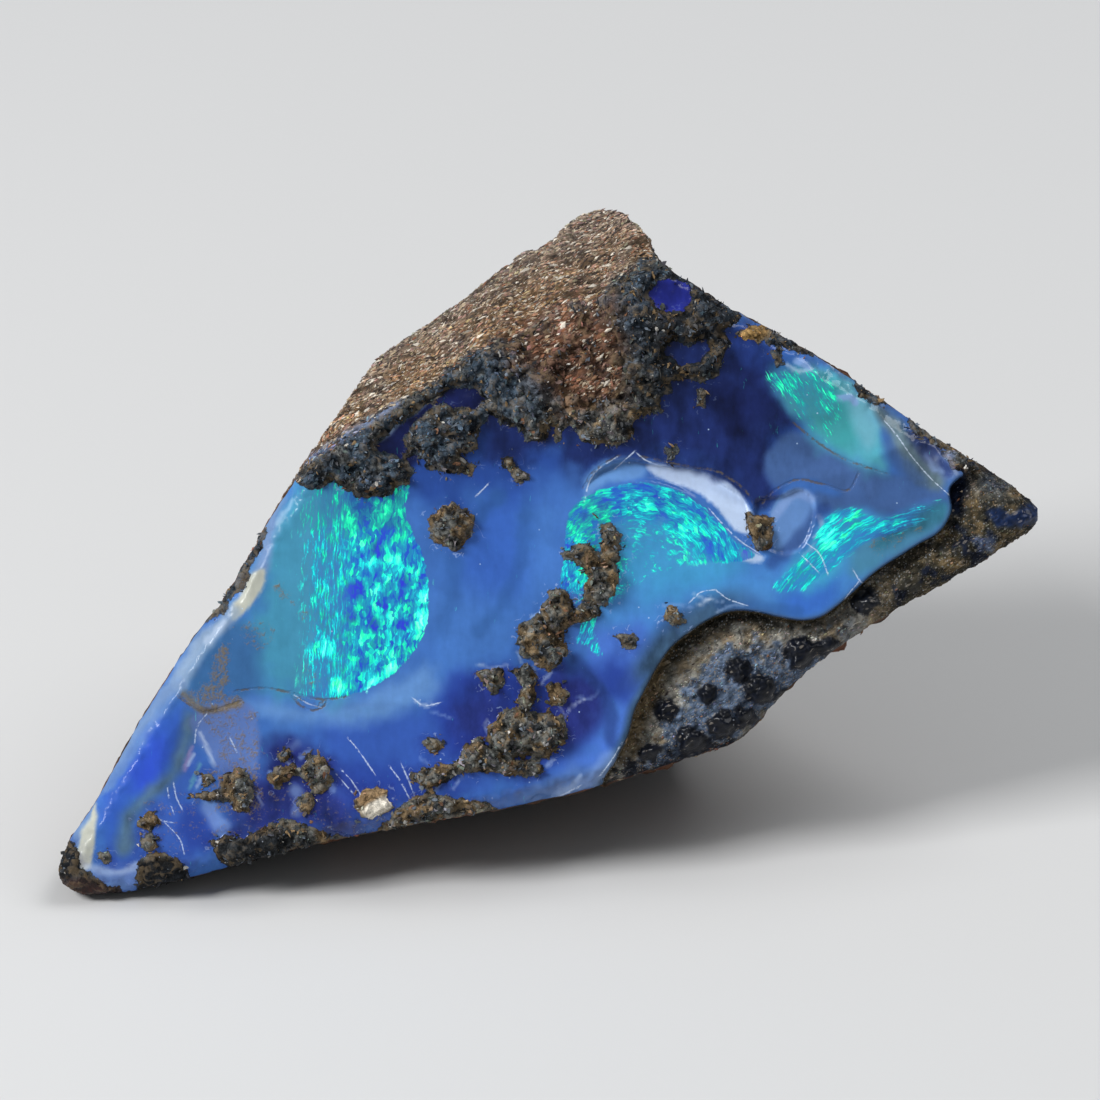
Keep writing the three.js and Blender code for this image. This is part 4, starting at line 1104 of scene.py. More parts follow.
# Thin lines on the opal: brown seams, and pale lines that are partly scratches and partly painted glints on
# ridges.
opalLines = [
    ("brown", path(
        13.4, 3.1, 13.8, 3.6, 14.6, 4.1, 15.6, 4.5, 16.6, 4.2, 17.5, 4, 18.4, 3.6, 18.9, 3.9, 19.2, 4.6,
    )),
    ("brown", path(-19.5, -8.8, -18, -8.6, -16.6, -8.8, -15.3, -9.2, -14.1, -9.4, -12.8, -9.2)),
    ("brown", path(-16.2, -8.9, -15.8, -9.6, -15, -10.1, -14.2, -9.9, -13.9, -9.4)),
    ("brown", path(2.2, 4.1, 2.6, 4.8, 3.2, 5.3, 4.1, 5.8)),
    ("brown", path(5.9, 5.8, 6.9, 5.6, 8.1, 5.3, 9.4, 5.1, 10.4, 5, 11.2, 4.5, 12.1, 3.9, 12.7, 3)),
    ("brown", path(15.4, 7.8, 16.6, 6.8, 18.1, 5.8, 19.7, 5.2, 20.9, 4.8)),
    ("brown", path(-22.9, -9.4, -22.1, -10, -21.5, -10.2, -20.6, -9.9, -19.5, -9.5)),
    ("pale", path(21.1, 7.9, 21.9, 6.9, 22.4, 6.1, 23, 5.4, 23.6, 4.7, 24.2, 4.1, 24.9, 3.5)),
    ("pale", path(-12.6, -11.8, -12, -12.5, -11.1, -13.8)),
    ("frost", path(-9.9, -13.7, -9.5, -14.2, -9.1, -14.9, -8.6, -15.9)),
    ("pale", path(-9.2, -13.6, -8.8, -14.5, -8.4, -15.6)),
    ("frost", path(-12.9, -13.9, -12.4, -14.4, -11.9, -15.2)),
    ("pale", path(-13.2, -14.2, -12.5, -15)),
    ("frost", path(-7.8, -14.2, -7.4, -14.6, -7.5, -15.3)),
    ("pale", path(-6.9, -14.2, -7.2, -14.8, -7.4, -15.4)),
    ("pale", path(-23.9, -15, -23.8, -15.6, -23.6, -16.2)),
    ("frost", path(-23.5, -14.8, -23.4, -15.4, -23.1, -16)),
    ("pale", path(-22.2, -11.8, -22.1, -11, -21.6, -10.4)),
    ("frost", path(10.1, 2.4, 10.8, 1.6, 11.8, 0.6, 12.9, -0.1)),
    ("pale", path(0.5, -15.5, 1.1, -15.1, 1.7, -14.8)),
    ("pale", path(3.2, -14, 3.9, -13.1, 4.4, -12.2)),
    ("frost", path(1.4, -15.8, 2.5, -15.1)),
    ("pale", path(18.2, -3.6, 18.6, -2.8, 19.2, -2.1)),
    ("frost", path(19.1, -1.5, 19.4, -2, 19.8, -2.2)),
    ("pale", path(2.2, 3.3, 2.4, 4.2, 2.9, 5, 4, 5.7)),
    ("frost", path(4.2, 5.2, 5.1, 6)),
    ("pale", path(5.6, 5.9, 6.1, 5.5, 7.4, 5.1)),
    ("pale", path(16.2, 0.3, 16.9, -0.2, 17.3, -1.3)),
    ("frost", path(15.8, -0.4, 16.6, -1.2)),
    ("pale", path(8.8, -5.1, 9.8, -4.6, 10.8, -4.2, 12.8, -3.9)),
    ("frost", path(10.5, -2.6, 11.1, -3.1, 12.1, -3.4)),
    ("frost", path(8.9, -3.1, 9.4, -2.6, 10.1, -2.5)),
    ("pale", path(-8.4, -9.4, -7.9, -9.8, -7.1, -9.6)),
    ("frost", path(-4.5, 3.5, -4, 4)),
    ("frost", path(9.4, -9.4, 9.8, -8.8)),
    ("frost", path(-19.9, -12, -19.6, -12.6)),
    ("pale", path(-15.8, -9.2, -15.2, -9.6, -14.5, -9.8)),
    ("frost", path(-25, -16.4, -24.4, -16.9, -23.8, -17)),
    ("pale", path(-23.9, -17.2, -23.1, -18, -22.9, -18.8)),
]
# Brown dust lying on the opal: how thick it is, and its outline.
dustPatches = [
    (0.62, path(-19.4, -4.5, -17.6, -4.1, -17.2, -5.6, -19, -6.6, -19.5, -5.6)),
    (0.95, path(-20.9, -5.9, -20.1, -5.9, -20, -8.8, -19.4, -9.4, -21.2, -9.8, -22.5, -9.4, -21.4, -8.1)),
    (0.72, path(-23.4, -8.8, -21.9, -8.4, -19.2, -9.1, -19, -9.9, -21, -10.5, -22.2, -10.2)),
    (0.72, path(-21.5, -10.4, -18.4, -10.1, -18.2, -14.1, -20.5, -14.1, -21.1, -12.5)),
    (0.95, path(-16.9, -1.9, -16.1, -3.1, -15.2, -4.1, -15.6, -4.4, -16.6, -3.2, -17.2, -2.2)),
    (0.5, path(-15.6, -6.6, -14.5, -6.6, -14.5, -8.8, -15.5, -8.6)),
    (0.6, path(-23.1, -15.3, -20.3, -14.7, -20, -15.6, -22.5, -15.9)),
    (0.46, path(
        -25.6, -15.6, -18.1, -14.4, -13.1, -15.4, -7.5, -15.4, -8.1, -17.2, -15.6, -18.1, -21.9, -18.8,
        -25.6, -19.1,
    )),
    (0.6, path(19.8, 0.6, 22.2, 1.4, 23.8, 1.9, 21.9, 0.2, 20, -0.4)),
    (0.7, path(-21.6, -13.8, -18.1, -13.6, -18, -16.4, -21.2, -16.4)),
]
rockColours = {
    "brown": (128, 108, 92),
    "brownNear": (132, 104, 76),
    "brownFar": (148, 136, 126),
    "red": (130, 88, 66),
    "crust": (75, 91, 107),
    "crustTan": (128, 128, 122),
    "crustDark": (28, 32, 38),
    "tanDust": (142, 112, 74),
    "underLedge": (46, 45, 38),
    "ledgeWall": (78, 70, 52),
    "redSand": (178, 174, 163),
    "rustSand": (158, 136, 104),
    "bloom": (110, 128, 154),
    "blueBlack": (14, 19, 32),
    "tipTan": (136, 116, 84),
    "tipBlue": (30, 52, 96),
    "tipNavy": (20, 30, 54),
    "tipBrown": (58, 54, 42),
    "tipGrey": (112, 118, 124),
    "knob": (54, 28, 25),
    "frostPale": (134, 150, 186),
    "orange": (190, 152, 96),
    "shardTan": (194, 160, 118),
    "chipWhite": (248, 240, 224),
    "ironstone": (106, 78, 60),
    "ironRed": (124, 76, 54),
    "ironOchre": (168, 130, 82),
    "ironDark": (56, 47, 43),
}
rockTints = [
    ("red", 1.4, 0.8, path(-3, 12.6, -2.4, 13.6, 0.6, 15.4, 4, 15.6, 4.6, 12, 4.4, 9.4, 1, 8.6, -1, 10.6)),
    ("tipTan", 0.4, 0.8, path(6.4, -6.4, 7.6, -5.8, 6.8, -9.2, 5.4, -12.6, 4.4, -12.6, 5.4, -9.2)),
    ("tipGrey", 0.8, 0.7, path(26, 5, 27.4, 5, 29, 4, 28.6, 3, 26.6, 3.4)),
    ("tipBlue", 0.2, 1, path(
        27.3, 2.4, 28.1, 2.7, 28.8, 2.2, 29.4, 2.6, 30, 3, 31, 3, 31, 1.8, 29.4, 1.4, 28, 1.4,
    )),
    ("tipNavy", 0.4, 1, path(24.6, 5, 26, 5.2, 26.2, 3.8, 25.7, 2.2, 24.8, 2.4)),
    ("tipNavy", 0.3, 0.9, path(26.4, 6.2, 28, 5.2, 27.6, 4.8, 26.2, 5.4)),
    ("frostPale", 0.2, 0.8, path(
        -16, 4.9, -13.8, 6.2, -11.6, 7.6, -9.4, 9, -9.3, 9.4, -13.9, 6.7, -16.1, 5.4,
    )),
    # painted shade: crust bits along the bottom edge darkened, as shade falls there
    ("crustDark", 0.5, 0.9, path(-26, -19.2, -22.6, -19.2, -22.2, -21, -26, -22)),
    ("crustDark", 1.2, 0.55, path(5, 14.5, 8, 17, 12.4, 15, 11.4, 11, 7, 9.6, 5, 9.4, 6, 12)),
    # painted shade as well, on the bits along the bottom edge
    ("crustDark", 0.8, 0.7, path(-21.4, -17.6, -17, -17.4, -14, -18.6, -18, -21, -21.4, -20.6)),
    ("frostPale", 0.3, 0.9, path(24, 6.1, 25.3, 6.1, 25.3, 4.9, 24, 4.9)),
    ("frostPale", 0.3, 0.7, path(26.6, 0.8, 27.8, 0.8, 27.7, -0.1, 26.8, -0.1)),
    ("crustDark", 0.4, 1, path(-31.4, -18.5, -29.8, -18.2, -29, -20, -29.8, -20.8, -31.4, -20.8)),
    ("knob", 0.4, 1, path(-31.4, -20.6, -29.4, -20.5, -26.4, -21.2, -26.6, -22.8, -31.4, -22.4)),
    ("orange", 0.15, 1, path(11.7, 13.3, 12.4, 14.1, 13.4, 14.2, 13.8, 13.5, 13, 13, 12, 13)),
    ("shardTan", 0.15, 1, path(-12.2, -15.6, -11.8, -14.9, -10, -14.8, -10, -15.6, -11.6, -16.2)),
    ("chipWhite", 0.12, 1, path(
        -12, -16.3, -10.8, -15.5, -10.2, -15.2, -9.8, -16, -10.6, -16.6, -11.2, -17,
    )),
]


def spread(tint, name, share):
    # paints a named colour over a tint where share is above nothing
    return tint + (np.array(colours[name], dtype=float) - tint) * np.clip(share, 0, 1)[:, None]


def plainTint(name, number):
    return np.tile(np.array(colours[name], dtype=float), (number, 1))


def insideCurve(outline, steps, reach):
    # distance to an outline made round, for each point of the front
    return insideOf(smoothClosedLine(outline, steps), frontX, frontY, reach)


def cutCorners(points, rounds=3):
    # an open line made smooth, with its ends kept
    line = np.array(points, dtype=float)
    for _ in range(rounds):
        near = 0.75 * line[:-1] + 0.25 * line[1:]
        far = 0.25 * line[:-1] + 0.75 * line[1:]
        line = np.vstack([line[:1], np.stack([near, far], 1).reshape(-1, 2), line[-1:]])
    return line


def asLight(tint):
    # screen colours from 0 to 255 into the light values that a shader wants
    tint = np.clip(tint, 0, 255) / 255
    return np.where(tint <= 0.04045, tint / 12.92, ((tint + 0.055) / 1.055) ** 2.4)


colours = {**opalColours, **rockColours}
frontX, frontY = frontPlaces.T
frontFlat = onPlane(frontX, frontY)
broadWobble = noiseAt(frontFlat, 2.3, 90)
fineWobble = noiseAt(frontFlat, 0.8, 91)
opalTint = plainTint("milky", len(frontX))
for name, softness, strength, outline in opalTints:
    inside = insideCurve(outline, 3, 4) + softness * (0.6 * broadWobble + 0.4 * fineWobble)
    opalTint = spread(opalTint, name, strength * smooth(inside, -softness, softness))
# The thick translucent lip over the hollow looks grey and dark from the front.
overHollow = frontFieldsHere["hollow"]
onLeft = 1 - smooth(frontX, 9, 15)
lipShare = smooth(overHollow, -2, -0.5) * onLeft * smooth(frontY, -9.5, -7)
lipShare = np.maximum(lipShare, smooth(overHollow, -0.7, -0.1) * onLeft)
opalTint = spread(opalTint, "lipGrey", 0.85 * lipShare)
opalTint = spread(opalTint, "lipBlue", 0.7 * smooth(overHollow, -0.45, 0) * smooth(frontX, 9, 14))
for name, width, softness, strength, points in opalStrokes:
    away = acrossLine(cutCorners(points), frontX, frontY)[1] + 0.35 * softness * fineWobble
    opalTint = spread(opalTint, name, strength * (1 - smooth(away, width / 2, width / 2 + softness)))
print("opal colours painted")

fireTurning = 6.0  # how fast the grain runs on around a middle, in millimetres for a radian
fireHere, flakesHere, greenHere, fireLift = np.zeros((4, len(frontX)))
grainHere = frontFlat.copy()
for name, (softness, outline) in fireOutlines.items():
    manner = fireManner[name]
    inside = insideCurve(outline, 4, 4) + 0.1 * fineWobble
    share = manner["strength"] * smooth(inside, -0.3 * softness, softness)
    if "falls" in manner:
        share *= 1 - 0.68 * smooth(acrossLine(archEdge, frontX, frontY)[1], *manner["falls"])
    if "fade" in manner:
        fromX, fromY, toX, toY = manner["fade"]
        length = (toX - fromX) ** 2 + (toY - fromY) ** 2
        share *= smooth(((frontX - fromX) * (toX - fromX) + (frontY - fromY) * (toY - fromY)) / length, 0, 1)
    if "middle" in manner:
        offX = frontX - manner["middle"][0]
        offY = frontY - manner["middle"][1]
        across = np.hypot(offX, offY)
        along = np.arctan2(offY, offX) * fireTurning
    else:
        turn = math.radians(manner["angle"])
        along = frontX * math.cos(turn) + frontY * math.sin(turn)
        across = frontX * math.sin(turn) - frontY * math.cos(turn)
    flakes = manner["flakes"]
    green = manner["green"]
    if name == "disc":
        flakes = smooth(frontX, -13.6, -11.9)
        green = green + 0.6 * smooth(frontY, 0, 2.5)
    if name == "arch":
        green = green + 0.6 * (1 - smooth(np.hypot(frontX - 2.2, frontY - 2.4), 0.8, 2.6))
    taken = (share > fireHere) | (inside > -0.5)
    fireHere = np.maximum(fireHere, share)
    flakesHere = np.where(taken, flakes, flakesHere)
    greenHere = np.where(taken, green, greenHere)
    near = inside > -0.8
    # each patch has its own level, so that no two have the same grain
    grainHere[near] = np.column_stack([across, along, np.full(len(along), len(name) * 7.0)])[near]
for spotX, spotY, radius, change in fireSpots:
    away = np.hypot(frontX - spotX, frontY - spotY) + 0.3 * fineWobble
    fireLift += change * (1 - smooth(away, 0.3 * radius, radius))

lineHere = {}
for kind in ("brown", "pale", "frost"):
    signed = np.full(len(frontX), 9.0)
    nearest = np.full(len(frontX), 9.0)
    for lineKind, points in opalLines:
        if lineKind == kind:
            side, away = acrossLine(cutCorners(points), frontX, frontY)
            signed = np.where(away < nearest, side, signed)
            nearest = np.minimum(nearest, away)
    lineHere[kind] = (np.clip(signed, -0.6, 0.6), 1 - smooth(nearest, 0.16, 0.36))

dustHere = np.zeros(len(frontX))
for thick, outline in dustPatches:
    inside = insideCurve(outline, 3, 2) + 0.3 * fineWobble
    dustHere = np.maximum(dustHere, thick * smooth(inside, -0.5, 0.5))
dustHere = np.maximum(dustHere, 0.6 * smooth(frontFieldsHere["crust"], -0.5, 0))

# The rock is painted in layers, each a colour and where it lies.
ironNoise = mottled(skinFlat, (5.2, 100, 1), (1.9, 101, 0.5))
bandNoise = noiseAt(skinFlat * np.array([0.4, 0.9, 1.3]), 2.6, 103) + 0.3 * noiseAt(skinFlat, 0.9, 104)
aboveCrest = skinY - np.interp(skinX, *np.array(brownCrest).T)
sandy = np.where(onBack, smooth(aboveCrest, -1.5, 1.5) * smooth(skinZ, -19, -12), 1)
sandyBrown = np.where(onBack, sandy, smooth(brownHere, -0.3, 0.1))
ochreBand = (1 - smooth(aboveCrest, 1, 4)) * smooth(noiseAt(skinFlat, 2.2, 105) + 0.5, 0, 0.8)
farShare = smooth(1.6 - stoneHere, 0, 3) * smooth(aboveCrest, 0.5, 3)
rockTint = plainTint("ironstone", count)
for name, share in (
        ("ironRed", 0.85 * smooth(ironNoise, -0.1, 0.5)),
        ("ironDark", 0.85 * smooth(-ironNoise, 0.05, 0.55)),
        ("ironOchre", 0.75 * smooth(bandNoise, 0.3, 0.62)),
        ("brown", sandyBrown),
        ("brownNear", sandyBrown * ochreBand),
        ("brownFar", 0.8 * sandyBrown * farShare)):
    rockTint = spread(rockTint, name, share)
# The sand lies in rows: little noise along them and much across.
sandRows = np.array([0.84, 0.25, 0.48])
rowNoise = noiseAt(skinFlat - 0.85 * (skinFlat @ sandRows)[:, None] * sandRows, 0.5, 120)
crestShare = (1 - smooth(aboveCrest, 1, 5)) * onFront
rockTint *= (1 + (0.2 + 0.2 * crestShare) * sandyBrown * np.clip(rowNoise, -1, 1))[:, None]

# Tan dust and dark stains lie in patches on the crust, most of them near its ragged edges.
isCrustArea = smooth(crustHere, -0.4, 0)
hangs = smooth(-aboveCrest, 4, 9) * (1 - 0.85 * smooth(skinX, 5, 7.5) * smooth(skinY, 5, 8))
dustNoise = mottled(skinFlat, (1.1, 125, 1), (0.4, 126, 0.5)) + 0.25 * (1 - smooth(crustHere, 0.2, 0.9))
stainNoise = mottled(skinFlat, (0.9, 127, 1), (0.4, 128, 0.5))
# The hollow under the ledge: sand, painted shade just below the ledge, a pale bloom, dark beads and a dark
# foot.
intoHollow = smooth(hollowHere, -0.1, 0)
onSand = 1 - isCrustArea
rustNoise = mottled(skinFlat, (1.5, 112, 1), (0.5, 113, 0.5))
bloomNoise = hollowHere + mottled(skinFlat, (1.4, 110, 1.3), (0.5, 114, 1.1))
footNoise = 1.3 - stoneHere + mottled(skinFlat, (1.1, 111, 1.3), (0.5, 115, 0.7))
foot = smooth(footNoise, 0.3, 1.4) * intoHollow * (1 - 0.9 * smooth(skinX, 11, 14.5)) * 0.85 * onFront
# painted shade: the sand darkens in a band just below the ledge, most in the middle of the hollow
wallShade = (1 - smooth(hollowHere + 0.4 * noiseAt(skinFlat, 0.8, 132), 0.4, 1.4)) * intoHollow
wallShade *= 0.2 + 0.65 * smooth(skinX, 5.5, 8) * (1 - 0.8 * smooth(skinX, 13, 16))
# The tip beyond the hollow is brown, tan and navy in patches.
tipHere = smooth(skinX, 19.5, 22.5) * intoHollow * onFront
tipNoise = mottled(skinFlat, (1.3, 130, 1), (0.5, 131, 0.6))
for name, share in (
        ("crust", isCrustArea),
        ("crustTan", 0.9 * isCrustArea * hangs),
        ("tanDust", 0.75 * isCrustArea * smooth(dustNoise, 0.15, 0.55) * (0.4 + 0.6 * hangs)),
        ("crustDark", 0.75 * isCrustArea * smooth(stainNoise, 0.2, 0.5)),
        ("redSand", intoHollow * onSand),
        ("rustSand", 0.7 * smooth(rustNoise, -0.1, 0.5) * intoHollow * onSand),
        ("bloom", smooth(bloomNoise, 1.5, 2.7) * (1 - smooth(skinX, 17, 20)) * onSand),
        ("blueBlack", foot),
        ("blueBlack", smooth(beadsHere, -0.15, 0.15)),
        ("underLedge", wallShade),
        ("ledgeWall", 1 - smooth(np.abs(hollowHere), 0.1, 0.3)),
        ("tipBrown", 0.9 * tipHere),
        ("tipTan", 0.85 * tipHere * smooth(tipNoise, 0.05, 0.5) * smooth(skinX, 22, 25)),
        ("tipNavy", 0.85 * tipHere * smooth(-tipNoise, 0.1, 0.5))):
    rockTint = spread(rockTint, name, share)
# Then the listed patches, which fade out a little way onto the back.
wobble = np.concatenate([0.5 * fineWobble, np.zeros(onBack.sum())])
frontward = np.where(onBack, smooth(skinZ + 1.5 * noiseAt(skinFlat, 1.3, 133), -4.5, -2), 1)
glossHere = smooth(beadsHere, -0.1, 0.3)
for name, softness, strength, outline in rockTints:
    inside = insideOf(outline, skinX, skinY, 3) + softness * wobble
    share = strength * smooth(inside, -softness, softness) * frontward
    rockTint = spread(rockTint, name, share)
    if name in ("knob", "tipBlue"):  # these two shine
        glossHere = np.maximum(glossHere, share)
print("rock colours painted")

nothingBehind = np.zeros((onBack.sum(), 3))
painted = {
    "facePlace": skinFlat,
    "rock": np.maximum.reduce([crustHere + 0.08, brownHere, hollowHere]),
    "crust": crustHere,
    "hollow": hollowHere,
    "gloss": glossHere,
    "high": standsOut,
    "sandy": sandyBrown,
    "worn": (1 - smooth(stoneHere, 0.5, 1.6)) * (1 - smooth(skinX, -17, -13)),
    "rockTint": asLight(rockTint),
    "opalTint": np.vstack([asLight(opalTint), nothingBehind]),
    "fire": onSkin(fireHere, 0),
    "flakes": onSkin(flakesHere, 0),
    "fireLift": onSkin(fireLift, 0),
    "green": onSkin(greenHere, 0),
    "fireGrain": np.vstack([grainHere, nothingBehind]),
    "dust": onSkin(dustHere, 0),
}
for kind, (signed, share) in lineHere.items():
    painted[kind + "Line"] = onSkin(signed, 0.6)
    painted[kind + "LineShare"] = onSkin(share, 0)
for name, values in painted.items():
    paintOn(skin, name, values)

# A flat map of the skin: the front as it is seen, and the back's disc below its slanting edge.
mapLayout = {"scale": 0.0158, "frontMiddle": (0.5, 0.648), "discMiddle": (0.765, 0.232), "discRadius": 0.222}
frontMap = np.array(mapLayout["frontMiddle"]) + frontPlaces * mapLayout["scale"]
discMap = discPlaces / discRadius * mapLayout["discRadius"] * np.array([-1, 1]) + mapLayout["discMiddle"]
backMap = np.zeros((count, 2))
backMap[backIndex] = discMap
mapOut(skin, np.concatenate([frontMap[skinFaces[:frontCount]], backMap[skinFaces[frontCount:]]]))


class Wire:
    # A shader socket. An expression on it adds the Math nodes that work it out.
    def __init__(self, tree, socket=None):
        self.tree = tree
        self.socket = socket

    def node(self, kind, settings=None, sockets=None, output=0):
        made = self.tree.nodes.new(kind)
        for name, value in (settings or {}).items():
            if name == "stops":
                ramp = made.color_ramp.elements
                while len(ramp) < len(value):
                    ramp.new(1)
                for element, (position, colour) in zip(ramp, value):
                    element.position = position
                    element.color = shown(*colour)
            else:
                setattr(made, name, value)
        for name, value in (sockets or {}).items():
            if isinstance(value, Wire):
                self.tree.links.new(value.socket, made.inputs[name])
            else:
                made.inputs[name].default_value = value
        return Wire(self.tree, made.outputs[output])

    def also(self, output):
        # another output of the same node
        return Wire(self.tree, self.socket.node.outputs[output])

    def maths(self, operation, *values):
        return self.node("ShaderNodeMath", {"operation": operation}, dict(enumerate(values)))

    def __add__(self, other):
        return self.maths("ADD", self, other)

    __radd__ = __add__

    def __sub__(self, other):
        return self.maths("SUBTRACT", self, other)

    def __rsub__(self, other):
        return self.maths("SUBTRACT", other, self)

    def __mul__(self, other):
        return self.maths("MULTIPLY", self, other)

    __rmul__ = __mul__

    def __abs__(self):
        return self.maths("ABSOLUTE", self)

    def most(self, other):
        return self.maths("MAXIMUM", self, other)

    def rising(self, low, high):
        # 0 below low, 1 above high, and smooth between
        return self.node("ShaderNodeMapRange", {"interpolation_type": "SMOOTHSTEP"},
                         {"Value": self, "From Min": low, "From Max": high}, "Result")

    def pick(self, first, second):
        # from the first colour to the second as this wire goes from 0 to 1
        first, second = (end if isinstance(end, Wire) else shown(*end) for end in (first, second))
        return self.node("ShaderNodeMix", {"data_type": "RGBA"}, {0: self, 6: first, 7: second}, 2)

    def over(self, below, mark):
        # a mark's colour laid over another, as strongly as the mark and this wire say
        strength, colour = mark
        return (self * strength).pick(below, colour)

    def vectorMaths(self, operation, others):
        return self.node("ShaderNodeVectorMath", {"operation": operation}, {0: self, **others})

    def scaled(self, amount):
        return self.vectorMaths("SCALE", {"Scale": amount})

    def stretched(self, *factors):
        return self.vectorMaths("MULTIPLY", {1: factors})

    def joined(self, other):
        return self.vectorMaths("ADD", {1: other})

    def noise(self, size, detail=2, roughness=0.5):
        sockets = {"Vector": self, "Scale": 1 / size, "Detail": detail, "Roughness": roughness}
        return self.node("ShaderNodeTexNoise", {}, sockets)

    def cells(self, size, feature="F1"):
        sockets = {"Vector": self, "Scale": 1 / size}
        return self.node("ShaderNodeTexVoronoi", {"feature": feature}, sockets, "Distance")

    def ramp(self, stops):
        return self.node("ShaderNodeValToRGB", {"stops": stops}, {"Fac": self}, "Color")

    def part(self, axis):
        return self.node("ShaderNodeSeparateXYZ", {}, {0: self}, axis)

    def read(self, name, output="Fac"):
        # a painted value of the piece
        return self.node("ShaderNodeAttribute", {"attribute_name": name}, {}, output)

    def bumped(self, strength=1.0):
        # the normals of a surface that stands out by this wire's millimetres
        sockets = {"Height": self, "Strength": strength, "Distance": millimetre}
        return self.node("ShaderNodeBump", {}, sockets, "Normal")

    def surface(self, sockets):
        shader = self.node("ShaderNodeBsdfPrincipled", {}, sockets, "BSDF")
        output = self.tree.nodes.new("ShaderNodeOutputMaterial")
        self.tree.links.new(shader.socket, output.inputs["Surface"])


def startMaterial(name):
    # a new material without nodes, and the wire that they start from
    material = bpy.data.materials.new(name)
    material.use_nodes = True
    material.node_tree.nodes.clear()
    return material, Wire(material.node_tree)


def shown(red, green, blue):
    # one colour as a screen shows it, for a shader's socket
    return (*(float(value) for value in asLight(np.array([red, green, blue], dtype=float))), 1)


# The play of colour runs from its darkest flakes to its brightest.
fireLook = {
    "blueStops": [(0, (50, 66, 214)), (0.2, (36, 96, 200)), (0.42, (38, 136, 196)), (0.6, (34, 172, 200)),
                  (0.76, (28, 202, 206)), (0.92, (30, 230, 208)), (1, (72, 242, 218))],
    "greenStops": [(0, (36, 92, 160)), (0.3, (38, 126, 168)), (0.55, (34, 166, 166)), (0.75, (26, 208, 160)),
                   (0.92, (36, 232, 164)), (1, (84, 244, 190))],
    "brightest": (0.5, (196, 240, 250)),
    "flakeSize": 0.62,
    "chipSize": 0.27,
    "glow": 0.42,
}
# Marks on the opal and on the rock have a strength and a colour each.
opalLook = {
    "roughness": 0.16,
    "coat": 0.36,
    "coatRoughness": 0.06,
    "ior": 1.45,
    "specular": 0.16,
    "scratchAndGlint": (0.75, (206, 222, 244)),
    "frost": (0.55, (156, 180, 226)),
    "shadeBesideCrust": (0.45, (26, 32, 112)),
    "seam": (0.75, (92, 84, 70)),
    "speck": (0.7, (178, 205, 235)),
    "dust": (0.8, (118, 104, 76)),
}
rockLook = {
    "roughness": 0.86,
    "glossRoughness": 0.4,
    "bump": 1.0,
    "grainAngle": -0.56,
    "tan": (0.45, (120, 102, 76)),
    "whiteGrain": (0.8, (212, 200, 184)),
    "dotStrength": 0.75,
    "dotColours": ((128, 104, 70), (136, 142, 146)),
    "glint": (0.55, (190, 200, 214)),
}


